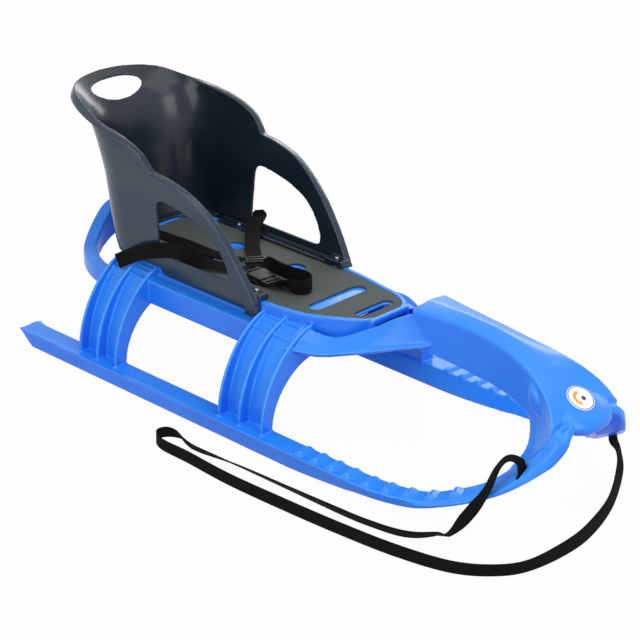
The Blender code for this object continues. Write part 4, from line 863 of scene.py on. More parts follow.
def badge_seat():
    """The round seat that is pressed into the nose for the badge."""
    up = np.array((math.sin(BADGE_SLOPE), 0.0, math.cos(BADGE_SLOPE)))
    return turned(BADGE_CENTRE - up * 0.0012, up, ((0.0, 0.0203), (0.0120, 0.0215)))


shelves = [arm_shelf(-1), arm_shelf(1)]
print(len(shelves), "shelves")

# %% Wrap the blue moulding
front = [carve(outward(part), [badge_seat()]) for part in (bonnet(), nose())]
body_parts = [bar, deck, deck_wall, handle()] + front + shelves + legs + rails + ridges
moulded_body = mould("moulded_body", body_parts, voxel=0.00155)
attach(moulded_body, "sledge")
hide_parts("sled_body")

# %% [markdown]
# ## The seat shell
#
# The bucket is one thin wall bent round the child's back, with a rolled rim that stiffens it.
# A flat plate with Solidify could be bent into it, but the rim would then lie in the wrong
# place.  A point of the outer face needs only how far it has turned round the back, how far
# it has run forward, and its height, so wall and rim are worked out as one grid of sections.
# %% Lines of the shell
SHELL_WALL, SHELL_FRONT_X, SHELL_SKIRT_Z, RIM_ROLL = 0.0038, -0.0734, 0.150, 0.009
BACK_LEAN = ((SHELL_SKIRT_Z, -0.396), (0.190, -0.412), (0.240, -0.419), (0.294, -0.426), (0.335, -0.438),
             (0.357, -0.455), (0.371, -0.480), (0.380, -0.507))
SHELL_HALF = ((SHELL_SKIRT_Z, 0.0895), (0.200, 0.0940), (0.270, 0.1000), (0.316, 0.1080), (0.350, 0.1120),
              (0.381, 0.1120))
SIDE_RIM = ((SHELL_TURN_X, 0.3585), (-0.3205, 0.353), (-0.288, 0.340), (-0.273, 0.325), (-0.266, 0.3165),
            (-0.244, 0.314), (-0.202, 0.3045), (-0.168, 0.287), (-0.133, 0.257), (-0.110, 0.228),
            (-0.090, 0.198), (SHELL_FRONT_X, 0.168))
BACK_RIM = ((0, 0.380), (40, 0.3775), (60, 0.3710), (75, 0.3645), (90, 0.3585))
SHELL_SKIRT = ((SHELL_TURN_X, 0.1600), (-0.2775, 0.1600), (-0.2690, SHELL_SKIRT_Z),
               (SHELL_FRONT_X, SHELL_SKIRT_Z))
BACK_COLUMNS, WING_COLUMNS, RIM_DROP = 90, 150, 0.0045


def shell_face(turn, advance, height):
    """Outer face: a superellipse round the back whose depth leans with height, then straight forward."""
    depth = SHELL_TURN_X - curve(BACK_LEAN, height)
    x = SHELL_TURN_X - depth * np.cos(turn) ** (2 / SHELL_POWER) + advance
    return points(x, curve(SHELL_HALF, height) * np.sin(turn) ** (2 / SHELL_POWER), height)


def shell_wall():
    """Sections of outer face, rolled rim and inner face, from one wing's tip round to the other."""
    forward = np.linspace(0.0015, SHELL_FRONT_X - SHELL_TURN_X, WING_COLUMNS)
    turn = np.radians(np.concatenate((np.linspace(0, 90, BACK_COLUMNS), np.full(WING_COLUMNS, 90.0))))
    advance = np.concatenate((np.zeros(BACK_COLUMNS), forward))
    back = np.arange(len(turn)) < BACK_COLUMNS
    low = np.where(back, SHELL_SKIRT[0][1], curve(SHELL_SKIRT, SHELL_TURN_X + advance))
    top = np.where(back, curve(BACK_RIM, np.degrees(turn)), curve(SIDE_RIM, SHELL_TURN_X + advance))
    turn, advance, low, top = (v[:, None] for v in (turn, advance, low, top))
    share = np.linspace(0, 1, 70) ** 0.8
    face = shell_face(turn, advance, low + (top - low) * share)
    up = np.gradient(face, axis=1)
    out = unit(np.cross(up, np.gradient(face, axis=0)))
    inner = face - out * SHELL_WALL
    tip, away, rise = face[:, -1], out[:, -1], unit(up[:, -1])
    roll = [tip + away * a * RIM_ROLL + rise * b for a, b in
            ((0.2, -0.0030), (0.7, -0.0045), (1.0, -0.0035), (0.9, -0.0008), (0.45, 0.0004))]
    outer = shell_face(turn, advance, low + (top - RIM_DROP - low) * share)
    half = np.concatenate((outer, np.stack(roll, axis=1), inner[:, ::-1]), axis=1)
    return outward(skin(np.concatenate((mirror(half[:0:-1]), half))))


print("shell from", SHELL_SKIRT_Z, "to", BACK_RIM[0][1], "m high")

# %% Windows, hand hole and feet
# WINDOW is (x, z) round one window, from its top rear corner forward; both sides share it.
WINDOW = np.array((
    (-0.2712, 0.2600), (-0.2660, 0.2680), (-0.2560, 0.2705), (-0.2360, 0.2688), (-0.2170, 0.2653),
    (-0.1970, 0.2603), (-0.1780, 0.2532), (-0.1640, 0.2452), (-0.1530, 0.2357), (-0.1440, 0.2250),
    (-0.1370, 0.2130), (-0.1328, 0.2030), (-0.1312, 0.1940), (-0.1340, 0.1872), (-0.1430, 0.1847),
    (-0.1650, 0.1843), (-0.2000, 0.1843), (-0.2400, 0.1844), (-0.2620, 0.1850), (-0.2708, 0.1880),
    (-0.2736, 0.1950), (-0.2736, 0.2120), (-0.2726, 0.2370)))
HAND_HOLE, HAND_HOLE_LEAN = (-0.4680, 0.0, 0.3625), math.radians(62)
HAND_HOLE_WIDTH, HAND_HOLE_HEIGHT = 0.092, 0.044
CLIP_TOP, FLANGE_TOP, FOOT_Z = 0.181, 0.1735, 0.174


def window_cutter(side):
    """Run one closed smooth line through the window's corners and draw it out through the wall."""
    low, high = sorted((side * 0.070, side * 0.140))
    return outward(plate(loop(WINDOW, 184), low, high, 1))


def hand_hole_cutter():
    """An oval bar square to the leaning wall."""
    up_wall = np.array((-math.sin(HAND_HOLE_LEAN), 0, math.cos(HAND_HOLE_LEAN)))
    through = np.cross(up_wall, (0, 1, 0))
    y, z = oval((0.0, 0.0), HAND_HOLE_WIDTH, HAND_HOLE_HEIGHT, 80).T
    ring = np.array(HAND_HOLE) + y[:, None] * (0, 1, 0) + z[:, None] * up_wall
    return outward(skin(np.array([ring + through * depth for depth in (-0.022, 0.022)])))


def shell_feet(side):
    """The flange that stands on the deck, the hook over its edge and the clip that the screw holds."""
    def foot(x, near, far, low, high):
        a, b = sorted((side * near, side * far))
        section = ((a, low), (b, low), (b, high), (a, high))
        return outward(skin(soften(along_x(x, section), 0.0016)))

    x = np.linspace(-0.330, SHELL_FRONT_X - 0.006, 60)
    edge = curve(SHELL_HALF, FOOT_Z) - 0.5 * SHELL_WALL
    clip_low = float(curve(DECK_TOP, SCREW_X[1])) + 0.0023
    return [foot(x, edge - 0.017, edge, curve(DECK_TOP, x) + 0.0018, FLANGE_TOP),
            foot(np.array((-0.101, -0.077)), 0.0865, 0.0905, LEDGE_Z + 0.0015, 0.160),
            foot(np.array((-0.104, -0.0705)), 0.0720, 0.0895, clip_low, CLIP_TOP)]


def back_shelf():
    """A flat ring that follows the wall's inside round the back and stands on the deck's rim."""
    turn = np.radians(np.linspace(-90, 90, 121))
    ring = []
    for inset, height in ((0.0019, 0.1702), (0.0019, FLANGE_TOP), (0.0205, FLANGE_TOP), (0.0205, 0.1702)):
        depth = SHELL_TURN_X - curve(BACK_LEAN, FOOT_Z) - inset
        half = float(curve(SHELL_HALF, FOOT_Z)) - inset
        ring.append(points(SHELL_TURN_X - depth * np.cos(turn) ** (2 / SHELL_POWER),
                           np.sign(turn) * half * np.abs(np.sin(turn)) ** (2 / SHELL_POWER), height))
    return outward(skin(soften(np.stack(ring, axis=1), 0.0012)))


print("window line of", len(WINDOW), "points")

# %% Wrap the shell
wall = carve(shell_wall(), [window_cutter(-1), window_cutter(1), hand_hole_cutter()])
feet = shell_feet(-1) + shell_feet(1) + [back_shelf()]
seat_shell = mould("seat_shell", [wall] + feet, voxel=0.00125)
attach(seat_shell, "sledge")
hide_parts("back_shell")

# %% [markdown]
# ## The foam mat
#
# The mat is a 3 mm closed-cell sheet pressed into the deck's seat.  It is too thin and too
# well held to need a cloth simulation, so it is cut from a sheet that follows the deck.
# %% Mat
openings = [capsule(c, length, width) for c, length, width in SLOTS]
openings += [oval(c, OVAL_LENGTH, OVAL_WIDTH) for c in OVALS]
mat_part = carve(outward(mat_sheet(0.0, -MAT_THICK + FIT, FIT)),
                 [plate(plan, 0.15, 0.20, 2) for plan in openings])
foam_mat = mould("foam_mat", [mat_part], voxel=0.0010, triangles=150000, rounds=3)
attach(foam_mat, "sledge")
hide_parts("seat_mat")

# %% [markdown]
# ## The lap belt
#
# Flat webbing runs from the rear legs' shoulders in through the shell's windows.  The left
# strap passes the slider, and its spare length loops forward and back to the buckle.  A third
# strap comes up the middle from the rear of the deck.  Flat straps lose their edges when they
# are remeshed, so they are drawn like the tow strap.
# %% Routes of the lap belt
BELT_WIDTH, WEBBING = 0.022, 0.0015
SLIDER_PLACE = np.array((-0.1767, 0.0045, 0.1735))
SLIDER_ALONG = np.array((0.789, -0.614, 0.0))
SLIDER_ACROSS = (0.614, 0.789, 0.0)
LEVEL, UPRIGHT = (0.0, 1.0, 0.0), (0.0, 0.0, 1.0)


def outer_belt(side):
    """From the rear leg's shoulder, on edge, along the outside of the shell."""
    return [((-0.3520, side * 0.1063, 0.1530), (-0.55, 0.0, 0.83)),
            ((-0.3320, side * 0.1045, 0.1650), (-0.52, 0.0, 0.85)),
            ((-0.3120, side * 0.1032, 0.1760), (-0.48, 0.0, 0.88)),
            ((-0.2900, side * 0.1022, 0.1855), (-0.40, 0.0, 0.92))]


def on_slider(distance):
    """A point of the belt on the slider's own line."""
    return tuple(SLIDER_PLACE + SLIDER_ALONG * distance)


BELT_RIGHT = outer_belt(-1) + [
    ((-0.2690, -0.1012, 0.1930), (-0.30, 0.1, 0.95)), ((-0.2530, -0.0970, 0.1972), (-0.20, 0.40, 0.88)),
    ((-0.2380, -0.0860, 0.1955), (0.0, 0.65, 0.75)), ((-0.2270, -0.0710, 0.1840), (0.40, 0.75, 0.45)),
    ((-0.2130, -0.0600, 0.1785), (0.40, 0.88, 0.15)), ((-0.1920, -0.0480, 0.1765), (0.40, 0.90, 0.0)),
    ((-0.1740, -0.0380, 0.1750), (0.25, 1.0, 0.0)), ((-0.1630, -0.0320, 0.1750), (0.12, 1.0, 0.0)),
    ((-0.1560, -0.0300, 0.1750), (0.1045, 0.9945, 0.0))]
BELT_LEFT = outer_belt(1)[:3] + [
    ((-0.2860, 0.1035, 0.1835), (-0.10, -0.60, 0.75)), ((-0.2690, 0.1010, 0.1885), (0.75, -0.50, 0.25)),
    ((-0.2620, 0.0925, 0.1885), (1.0, -0.15, -0.10)), ((-0.2560, 0.0800, 0.1840), (0.95, 0.20, -0.10)),
    ((-0.2450, 0.0650, 0.1775), (0.80, 0.50, 0.0)), ((-0.2290, 0.0480, 0.1750), (0.68, 0.72, 0.0)),
    ] + [(on_slider(distance), SLIDER_ACROSS) for distance in (-0.042, -0.032, -0.018, 0.0, 0.0110)]
BELT_CENTRE = [
    ((-0.3830, -0.0220, 0.1694), LEVEL), ((-0.3600, -0.0215, 0.1698), LEVEL),
    ((-0.3300, -0.0210, 0.1706), (0.0, 1.0, 0.05)), ((-0.3000, -0.0205, 0.1712), (0.0, 1.0, 0.08)),
    ((-0.2700, -0.0190, 0.1706), (-0.06, 1.0, 0.05)), ((-0.2450, -0.0160, 0.1701), (-0.15, 1.0, 0.0)),
    ((-0.2200, -0.0110, 0.1700), (-0.25, 0.97, 0.0)), ((-0.1950, -0.0045, 0.1699), (-0.28, 0.96, 0.0))]
BELT_LOOP = [
    (on_slider(0.0125), SLIDER_ACROSS), (on_slider(0.0190), (0.60, 0.79, 0.05)),
    ((-0.1490, -0.0035, 0.1790), (0.25, 0.60, 0.70)), ((-0.1330, -0.0050, 0.1826), (0.0, 0.1, 1.0)),
    ((-0.1130, -0.0070, 0.1828), UPRIGHT), ((-0.0917, -0.0070, 0.1828), UPRIGHT),
    ((-0.0710, -0.0030, 0.1828), UPRIGHT), ((-0.0530, -0.0060, 0.1828), UPRIGHT),
    ((-0.0430, -0.0180, 0.1828), UPRIGHT), ((-0.0450, -0.0310, 0.1828), UPRIGHT),
    ((-0.0570, -0.0380, 0.1824), (0.0, -0.1, 1.0)), ((-0.0710, -0.0375, 0.1802), (-0.1, -0.5, 0.8)),
    ((-0.0840, -0.0362, 0.1760), (-0.1, -0.9, 0.2)), ((-0.0905, -0.0357, 0.1750), (-0.1, -1.0, 0.0)),
    ((-0.0945, -0.0354, 0.1750), (-0.1, -1.0, 0.0))]
print("left belt of", len(BELT_LEFT), "points, right belt of", len(BELT_RIGHT))

# %% Lap belt
belts = []
for name, node, route in (("lap_belt_right", "belt_webbing_right", BELT_RIGHT),
                          ("lap_belt_left", "belt_webbing_left", BELT_LEFT),
                          ("lap_belt_loop", "belt_loop", BELT_LOOP),
                          ("lap_belt_centre", None, BELT_CENTRE)):
    part, uv, line = strap(route, BELT_WIDTH, WEBBING, 260)
    belts.append(to_object(name, outward(part), uv))
    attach(belts[-1], "sledge")
    if node:
        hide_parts(node)
    print(name, round(length_of(line), 3), "m")

# %% [markdown]
# ## Buckle and slider
#
# Small fittings are moulded too.  Bevelled boxes would look alike from afar, but their slots
# need rounded lips, so boxes with cut slots are wrapped in a very fine skin.  The spring arms
# keep the CAD's own mesh, because they move on hinges.
# %% Buckle sleeve and plug
BUCKLE_HALF, BUCKLE_LONG, BUCKLE_TALL, BUCKLE_WALL = 0.015, 0.015, 0.010, 0.0018
BUCKLE_PLACE, BUCKLE_TURN = (-0.1260, -0.0320, 0.1700), math.radians(174.0)


def placed(part, place, turn):
    """Turn a part round the upright axis, then move it to its place."""
    cos, sin = math.cos(turn), math.sin(turn)
    at = part[0] @ np.array(((cos, sin, 0), (-sin, cos, 0), (0, 0, 1)))
    return at + np.array(place), part[1], part[2]


def case(low, high, reach=0.0012):
    """A box with rounded upright edges between two corners."""
    outline = ((low[0], low[1]), (high[0], low[1]), (high[0], high[1]), (low[0], high[1]))
    return outward(plate(outline, low[2], high[2], 2, reach))


def fitting(name, solids, cuts, place, turn, node, body):
    """Carve each solid, place all, wrap them in a fine skin and stand them in for a CAD node."""
    parts = [placed(carve(solid, cuts), place, turn) for solid in solids]
    made = mould(name, parts, voxel=0.00038, triangles=60000, rounds=4)
    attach(made, body)
    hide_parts(node)
    return made


half, long, tall, thin = BUCKLE_HALF, BUCKLE_LONG, BUCKLE_TALL, BUCKLE_WALL
belt_half, inside = BELT_WIDTH / 2 + 0.001, half - thin - 0.002
grips = [case((a, s * half - 0.0007, 0.002), (a + 0.0010, s * half + 0.0007, tall - 0.002), 0.0)
         for a in (-0.0125, -0.0105) for s in (-1, 1)]
sleeve = fitting("buckle_housing", [
    case((-long, -half, 0), (long, half, tall), 0.0022),
    case((long - 0.001, -half + 0.001, 0.0015), (long + 0.0100, half - 0.001, tall - 0.0015)),
], [case((-long - 0.001, -inside, thin), (long - 0.0045, inside, tall - thin), 0.0),
    case((-0.0085, -half - 0.001, thin + 0.0004), (0.0074, half + 0.001, tall - thin - 0.0004), 0.0),
    case((long + 0.0018, -belt_half, -0.001), (long + 0.0062, belt_half, tall + 0.001), 0.0)] + grips,
    BUCKLE_PLACE, BUCKLE_TURN, "buckle_sleeve", "sledge")

root, low, high, arm_y = -long - 0.0060, thin + FIT, tall - thin - FIT, inside - 0.0030
arm_roots = [case((-long - 0.0030, s * arm_y - 0.0024, low - 0.0004),
                  (-long + 0.001, s * arm_y + 0.0024, high + 0.0004), 0.0) for s in (-1, 1)]
plug = fitting("buckle_tongue", [
    case((root, -half + 0.001, 0.0015), (-long - FIT, half - 0.001, tall - 0.0015), 0.0004),
    case((-long - 0.001, -0.0026, low), (long - 0.0060, 0.0026, high), 0.0004),
    case((root - 0.0095, -half + 0.0014, 0.0018), (root + 0.0005, half - 0.0014, tall - 0.0018)),
], [case((root - 0.0062, -belt_half, -0.001), (root - 0.0018, belt_half, tall + 0.001), 0.0)] + arm_roots,
    BUCKLE_PLACE, BUCKLE_TURN, "buckle_plug", "sledge")

# %% Slider
reach = BELT_WIDTH / 2
slider_plate = case((-0.0100, -reach - 0.0035, -0.0028), (0.0100, reach + 0.0035, 0.0028), 0.002)
ways = [case((-0.0110, -reach - 0.0005, -0.0012), (0.0110, reach + 0.0005, 0.0012), 0.0)]
ways += [case((near, -reach - 0.0009, -0.0040), (far, reach + 0.0009, 0.0040), 0.0)
         for near, far in ((-0.0070, -0.0020), (0.0020, 0.0070))]
adjuster = fitting("belt_adjuster", [slider_plate], ways, tuple(SLIDER_PLACE),
                   math.atan2(SLIDER_ALONG[1], SLIDER_ALONG[0]), "belt_slider", "slider")

# %% [markdown]
# ## Mixing finishes
#
# A finish is written like arithmetic.  One class wraps a socket so that plus, minus and
# times add Math nodes, and one method adds any other node.
# %% Sockets that do sums


class Line:
    """A value on its way through a finish; sums on it add Math nodes."""

    def __init__(self, paint, socket):
        self.paint, self.socket = paint, socket

    def math(self, operation, first, second):
        return self.paint.node("Math", {"operation": operation}, {0: first, 1: second})

    def __add__(self, other):
        return self.math("ADD", self, other)

    def __sub__(self, other):
        return self.math("SUBTRACT", self, other)

    def __rsub__(self, other):
        return self.math("SUBTRACT", other, self)

    def __mul__(self, other):
        return self.math("MULTIPLY", self, other)

    def __pow__(self, other):
        return self.math("POWER", self, other)

    def wave(self):
        """The sine of an angle in radians."""
        return self.math("SINE", self, 0.0)

    def above(self, level):
        """1 where the value is over a level, else 0."""
        return self.math("GREATER_THAN", self, level)

    __radd__, __rmul__ = __add__, __mul__


class Paint:
    """A finish being mixed on the material's own shader."""

    def __init__(self, name):
        self.material = bpy.data.materials.new(name)
        self.material.use_nodes = True
        self.tree = self.material.node_tree
        self.shader = self.tree.nodes["Principled BSDF"]

    def feed(self, node, sockets):
        """Link or set a node's sockets."""
        for key, value in sockets.items():
            if isinstance(value, Line):
                self.tree.links.new(value.socket, node.inputs[key])
            else:
                node.inputs[key].default_value = value

    def node(self, kind, settings=None, sockets=None, output=0):
        """Add a node with its settings and sockets, and return one of its outputs."""
        made = self.tree.nodes.new("ShaderNode" + kind)
        for key, value in (settings or {}).items():
            setattr(made, key, value)
        self.feed(made, sockets or {})
        return Line(self, made.outputs[output])

    def place(self, scale=(1, 1, 1)):
        """Object coordinates, stretched."""
        return self.node("Mapping", None, {"Vector": self.node("TexCoord", output="Object"), "Scale": scale})

    def noise(self, where, scale, detail=2.0):
        """Soft noise from 0 to 1 round 0.5."""
        return self.node("TexNoise", None, {"Vector": where, "Scale": scale, "Detail": detail})

    def smooth(self, value, low, high):
        """0 below low, 1 above high, smooth between."""
        return self.node("MapRange", {"interpolation_type": "SMOOTHSTEP"},
                         {"Value": value, "From Min": low, "From Max": high})

    def part(self, vector, axis):
        """One coordinate of a vector."""
        return self.node("SeparateXYZ", None, {0: vector}, axis)

    def mix(self, factor, low, high):
        """Blend two colours."""
        low, high = (c if isinstance(c, Line) else (*c, 1.0) for c in (low, high))
        return self.node("Mix", {"data_type": "RGBA"}, {0: factor, 6: low, 7: high}, 2)

    def bump(self, height, distance, strength=1.0):
        """Turn a height from 0 to 1 into a surface relief that is distance deep."""
        return self.node("Bump", None, {"Height": height, "Distance": distance, "Strength": strength})

    def finish(self, **sockets):
        """Set the shader; underscores stand for spaces."""
        self.feed(self.shader, {key.replace("_", " "): value for key, value in sockets.items()})
        print(f"{self.material.name}: {len(self.tree.nodes)} nodes")
        return self.material


print("finishes are ready to mix")

# %% [markdown]
# ## Blue plastic
#
# Sky-blue polyethylene looks deeper blue where it turns away from the sky and lies in shade.
# Subsurface scattering could give some of that, but it is slow and the export drops it, so
# the surface's slope mixes two blues, and the deep one is painted shade.  There is a faint orange
# peel too, the edges are paler, partly rubbed and partly a painted highlight, and the soles scratched.
# %% Blue moulding's finish


def blue_plastic():
    """Painted shade: deep to light blue by how far a face looks up; peel, paler edges (rubbed and painted
    highlight), scratched soles.
    """
    paint = Paint("blue moulding")
    place = paint.place()
    shape = paint.node("NewGeometry", output="Normal")
    # Painted shade: faces that look sideways or down get the deep blue, faces that look up get the light
    # blue.
    sky_facing_not_painted_shade = paint.smooth(paint.part(shape, "Z"), -0.75, 0.35)
    cloud = paint.noise(place, 7.0)
    edge = paint.smooth(paint.node("NewGeometry", output="Pointiness"), 0.515, 0.56)
    scratch = paint.noise(paint.place((3, 160, 160)), 2.5, 4.0)
    sole = paint.smooth(paint.part(shape, "Z") * -1.0, 0.75, 0.98)
    rubbed = paint.smooth(scratch, 0.52, 0.62) * sole
    colour = paint.mix(sky_facing_not_painted_shade, (0.006, 0.075, 0.88), (0.020, 0.225, 0.86))
    colour = paint.mix(paint.smooth(cloud, 0.35, 0.75) * 0.22, colour, (0.045, 0.34, 0.88))
    # Paler edges: partly rubbed wear, partly a painted highlight along rims and slot lips.
    colour = paint.mix(edge * 0.45, colour, (0.11, 0.44, 0.93))
    colour = paint.mix(rubbed * 0.5, colour, (0.28, 0.42, 0.70))
    relief = paint.noise(place, 260.0) * 0.6 + paint.noise(place, 1500.0, 1.0) * 0.4
    return paint.finish(Base_Color=colour, Roughness=0.24 + cloud * 0.10 + rubbed * 0.25,
                        Normal=paint.bump(relief, 0.00010, 0.5), Specular_IOR_Level=0.38)


BLUE = blue_plastic()
moulded_body.data.materials.append(BLUE)

# %% [markdown]
# ## Dark plastic
#
# The shell is glossy navy, drawn nearly black inside as painted shade in the bucket.  Its
# outside keeps the paler navy, and fine hair scratches break the gloss.  Two materials could
# part inside from outside, but one mask does it with no seam along the rim: a face looks
# outwards where its normal points away from the middle of the seat.
# %% Shell's finish
SEAT_MIDDLE_X = -0.300 + FORWARD[0]


def dark_plastic():
    """Navy, darker inside as painted shade, with dust in clouds and fine crossing hair scratches."""
    paint = Paint("dark moulding")
    place = paint.place()
    shape = paint.node("NewGeometry", output="Normal")
    middle = paint.node("VectorMath", {"operation": "SUBTRACT"},
                        {0: paint.node("TexCoord", output="Object"), 1: (SEAT_MIDDLE_X, 0.0, 0.0)})
    forward, sideways = (paint.part(shape, axis) * paint.part(middle, axis) for axis in "XY")
    outward_face_vs_painted_shade = forward + sideways
    cloud = paint.noise(place, 9.0, 3.0)
    lengthwise, upright = (paint.noise(paint.place(way), 3.0) * 0.5
                           for way in ((18, 400, 30), (300, 20, 60)))
    hair = lengthwise + upright
    edge = paint.smooth(paint.node("NewGeometry", output="Pointiness"), 0.52, 0.57)
    # Painted shade: faces inside the bucket get the darker navy, outward faces the paler one.
    colour = paint.mix(paint.smooth(outward_face_vs_painted_shade, -0.01, 0.05), (0.0085, 0.0150, 0.0250), (0.015, 0.034, 0.062))
    colour = paint.mix(paint.smooth(cloud, 0.45, 0.8) * 0.25, colour, (0.045, 0.060, 0.080))
    colour = paint.mix(edge * 0.3, colour, (0.08, 0.10, 0.13))
    return paint.finish(Base_Color=colour, Specular_IOR_Level=0.34,
                        Roughness=0.17 + paint.smooth(hair, 0.55, 0.75) * 0.10 + cloud * 0.08,
                        Normal=paint.bump(paint.noise(place, 120.0), 0.00012, 0.35))


NAVY = dark_plastic()
seat_shell.data.materials.append(NAVY)

# %% [markdown]
# ## Foam, webbing and small parts
#
# Foam is matt with tiny open cells.  Webbing is woven: warp ribs run along it and the weft
# crosses them.  A picture of cloth could be laid on it, but two sine waves give the weave at
# any size.  They follow the strap's own UV map, which is in metres.
# %% Foam's finish


def foam():
    """Matt grey with cells, soft dirt and a few scuffs."""
    paint = Paint("grey foam")
    place = paint.place()
    cells = paint.node("TexVoronoi", {"feature": "F1"}, {"Vector": place, "Scale": 900.0})
    dirt, fleck = paint.noise(place, 14.0, 4.0), paint.noise(place, 700.0, 1.0)
    colour = paint.mix(dirt, (0.060, 0.071, 0.070), (0.080, 0.092, 0.090))
    colour = paint.mix(paint.smooth(fleck, 0.58, 0.70) * 0.4, colour, (0.04, 0.045, 0.044))
    return paint.finish(Base_Color=colour, Roughness=0.80 + dirt * 0.12, Specular_IOR_Level=0.3,
                        Normal=paint.bump(cells * 0.7 + paint.noise(place, 160.0) * 0.5, 0.00030, 0.6))


foam_mat.data.materials.append(foam())

# %% Webbing's finish


def webbing(name, pitch):
    """Herringbone: the weft's phase shifts with each warp rib; the strap is a little worn in soft patches.
    """
    paint = Paint(name)
    cloth = paint.node("UVMap", {"uv_map": "cloth"})
    across, along = paint.part(cloth, "X"), paint.part(cloth, "Y")
    rib = (across * (math.tau / pitch)).wave()
    weft = (along * (math.tau / (0.7 * pitch)) + rib * 1.6).wave()
    fuzz = paint.noise(paint.place(), 1800.0, 2.0)
    height = rib * 0.25 + weft * 0.25 + fuzz * 0.3 + 0.4
    wear = paint.noise(paint.place(), 25.0, 3.0)
    colour = paint.mix(paint.smooth(height, 0.1, 1.0), (0.0012, 0.0012, 0.0013), (0.0050, 0.0048, 0.0042))
    colour = paint.mix(paint.smooth(wear, 0.52, 0.75) * 0.30, colour, (0.010, 0.0095, 0.0085))
    return paint.finish(Base_Color=colour, Roughness=0.78 + fuzz * 0.2, Specular_IOR_Level=0.12,
                        Normal=paint.bump(height, 0.00030, 0.8))


tow_webbing.data.materials.append(webbing("tow webbing", 0.0022))
BELT_CLOTH = webbing("belt webbing", 0.0018)
for belt in belts:
    belt.data.materials.append(BELT_CLOTH)

# %% Fittings, steel and the badge


def black_plastic():
    """Fine spark texture, with soft grey rubbed patches."""
    paint = Paint("black moulding")
    place = paint.place()
    grain, rub = paint.noise(place, 2600.0, 1.0), paint.noise(place, 60.0, 3.0)
    colour = paint.mix(paint.smooth(rub, 0.45, 0.75), (0.0060, 0.0060, 0.0065), (0.020, 0.020, 0.022))
    return paint.finish(Base_Color=colour, Roughness=0.28 + grain * 0.22,
                        Normal=paint.bump(grain, 0.00006, 0.6))


def steel(name, stretch):
    """Brushed along one way, with soft stains."""
    paint = Paint(name)
    brush, stain = paint.noise(paint.place(stretch), 40.0, 3.0), paint.noise(paint.place(), 30.0, 3.0)
    colour = paint.mix(paint.smooth(stain, 0.4, 0.8), (0.46, 0.44, 0.41), (0.26, 0.23, 0.20))
    colour = paint.mix(brush * 0.4, colour, (0.58, 0.56, 0.53))
    return paint.finish(Base_Color=colour, Metallic=1.0, Roughness=0.24 + brush * 0.25,
                        Normal=paint.bump(brush, 0.00004, 0.5))


BADGE_RADIUS = 0.0200


def badge_print():
    """White with a dark ring, an orange arc and a dot, by radius and bearing on the disc."""
    paint = Paint("badge print")
    arm = paint.node("VectorMath", {"operation": "SUBTRACT"},
                     {0: paint.node("TexCoord", output="Object"), 1: BADGE_CENTRE + FORWARD})
    u, v = (paint.node("VectorMath", {"operation": "DOT_PRODUCT"}, {0: arm, 1: way}, 1) * (1 / BADGE_RADIUS)
            for way in ((0.0, 1.0, 0.0), (math.cos(BADGE_SLOPE), 0.0, -math.sin(BADGE_SLOPE))))
    radius = (u * u + v * v) ** 0.5
    ring = radius.above(0.88) * (1.0 - radius.above(0.95))
    bearing = u * -0.93 + v * -0.37 - radius * 0.15
    arc = radius.above(0.34) * (1.0 - radius.above(0.58)) * bearing.above(0.0)
    dot = 1.0 - ((u - 0.18) * (u - 0.18) + (v - 0.10) * (v - 0.10)).above(0.030)
    scuff = paint.noise(paint.place(), 160.0, 4.0)
    colour = paint.mix(ring, (0.80, 0.82, 0.82), (0.06, 0.12, 0.24))
    colour = paint.mix(arc, colour, (0.86, 0.32, 0.035))
    colour = paint.mix(dot, colour, (0.03, 0.035, 0.05))
    colour = paint.mix(paint.smooth(scuff, 0.60, 0.70) * 0.2, colour, (0.5, 0.52, 0.55))
    return paint.finish(Base_Color=colour, Roughness=0.22 + scuff * 0.15,
                        Normal=paint.bump(scuff, 0.00005, 0.3))


BLACK = black_plastic()
for fitted in (sleeve, plug, adjuster):
    fitted.data.materials.append(BLACK)
STRIP_STEEL, SCREW_STEEL = steel("strip steel", (0.4, 60, 60)), steel("screw steel", (20, 20, 20))
finishes = {"strip_screw": SCREW_STEEL, "shell_screw": SCREW_STEEL, "runner_strip": STRIP_STEEL,
            "nose_badge": badge_print(), "buckle_arm": BLACK, "strap_stop": BLACK}
for name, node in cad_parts.items():
    for start, material in finishes.items():
        if name.startswith(start):
            node.data.materials.clear()
            node.data.materials.append(material)
print(len(bpy.data.materials), "materials")

# %% [markdown]
# ## Floor, light and background
#
# The studio is white.  Strong lamps would wash out the object before they whiten the floor, so
# floor and world show white only to rays from the camera, from a gloss or through glass.  For
# all other light they are plain grey, which keeps a soft shadow.  Three large soft lamps,
# above, in front and at the side, and a long one behind give the highlights that gloss needs.
# %% Floor
FLOOR_HALF, FLOOR_GREY, FLOOR_ROUGHNESS, FLOOR_SHARE = 9.0, 0.62, 0.8, 0.96


def plainly_seen(tree):
    """One for a ray from the camera, from a gloss or through glass, nought for light on its way round."""
    path = tree.nodes.new("ShaderNodeLightPath")
    seen = path.outputs["Is Camera Ray"]
    for kind in ("Is Glossy Ray", "Is Transmission Ray"):
        either = tree.nodes.new("ShaderNodeMath")
        either.operation = "MAXIMUM"
        tree.links.new(seen, either.inputs[0])
        tree.links.new(path.outputs[kind], either.inputs[1])
        seen = either.outputs[0]
    return seen


def blend(tree, factor, first, second, last):
    """Mix two shaders by a factor and link them to the last node's surface."""
    join = tree.nodes.new("ShaderNodeMixShader")
    for source, socket in zip((factor, first, second), join.inputs):
        tree.links.new(source, socket)
    tree.links.new(join.outputs[0], tree.nodes[last].inputs["Surface"])


def stage_floor():
    """Lay one large flat face on the ground."""
    corners = np.array([(-1, -1, 0), (1, -1, 0), (1, 1, 0), (-1, 1, 0)]) * FLOOR_HALF
    mesh = bpy.data.meshes.new("floor")
    mesh.from_pydata(corners.tolist(), [], [(0, 1, 2, 3)])
    floor = bpy.data.objects.new("floor", mesh)
    bpy.context.collection.objects.link(floor)
    return floor


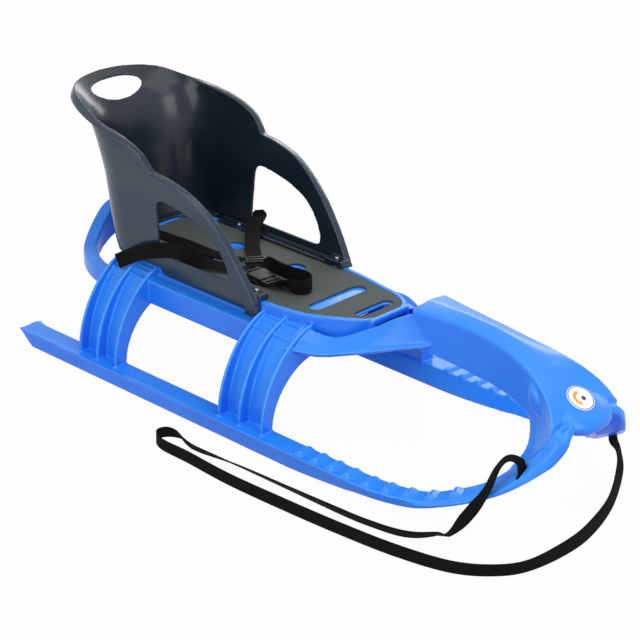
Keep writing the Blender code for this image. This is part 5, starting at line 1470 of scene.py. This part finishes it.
def white_floor():
    """Matt grey, with a share of white glow laid over it where it is plainly seen."""
    material = bpy.data.materials.new("white floor")
    material.use_nodes = True
    tree = material.node_tree
    matt, glow = tree.nodes["Principled BSDF"], tree.nodes.new("ShaderNodeEmission")
    matt.inputs["Base Color"].default_value = (FLOOR_GREY, FLOOR_GREY, FLOOR_GREY, 1)
    matt.inputs["Roughness"].default_value = FLOOR_ROUGHNESS
    share = tree.nodes.new("ShaderNodeMath")
    share.operation = "MULTIPLY"
    share.inputs[1].default_value = FLOOR_SHARE
    tree.links.new(plainly_seen(tree), share.inputs[0])
    blend(tree, share.outputs[0], matt.outputs[0], glow.outputs[0], "Material Output")
    return material


floor = stage_floor()
floor.data.materials.append(white_floor())
print("floor", 2 * FLOOR_HALF, "m wide")

# %% Lights
# A row of LAMPS is name, place, aim, (width, height) and power in watts.
LAMPS = (("overhead", (0.3, -0.2, 2.6), (0, 0, 0), (2.4, 2.4), 29),
         ("front left", (2.4, -0.4, 1.6), (0, 0, 0.1), (1.2, 1.6), 23),
         ("side", (0.2, -2.6, 1.0), (0, 0, 0.15), (1.8, 1.2), 18),
         ("rear strip", (-0.8, 2.4, 1.5), (0, 0, 0.2), (2.6, 0.5), 25))
WORLD_STRENGTH = 0.52


def soft_light(name, place, aim, size, power):
    """Hang a rectangular light that faces a point."""
    lamp = bpy.data.lights.new(name, "AREA")
    lamp.shape, lamp.energy = "RECTANGLE", power
    lamp.size, lamp.size_y = size
    made = bpy.data.objects.new(name, lamp)
    made.location = place
    made.rotation_euler = (Vector(aim) - Vector(place)).to_track_quat("-Z", "Y").to_euler()
    bpy.context.collection.objects.link(made)


def studio():
    """White all round where it is plainly seen, and a dimmer white that lights the sledge."""
    world = bpy.data.worlds.new("studio")
    world.use_nodes = True
    tree = world.node_tree
    dim, white = tree.nodes["Background"], tree.nodes.new("ShaderNodeBackground")
    for backdrop in (dim, white):
        backdrop.inputs["Color"].default_value = (1, 1, 1, 1)
    dim.inputs["Strength"].default_value = WORLD_STRENGTH
    blend(tree, plainly_seen(tree), dim.outputs[0], white.outputs[0], "World Output")
    return world


for row in LAMPS:
    soft_light(*row)
bpy.context.scene.world = studio()
print(len(LAMPS), "lamps and a world of", WORLD_STRENGTH)
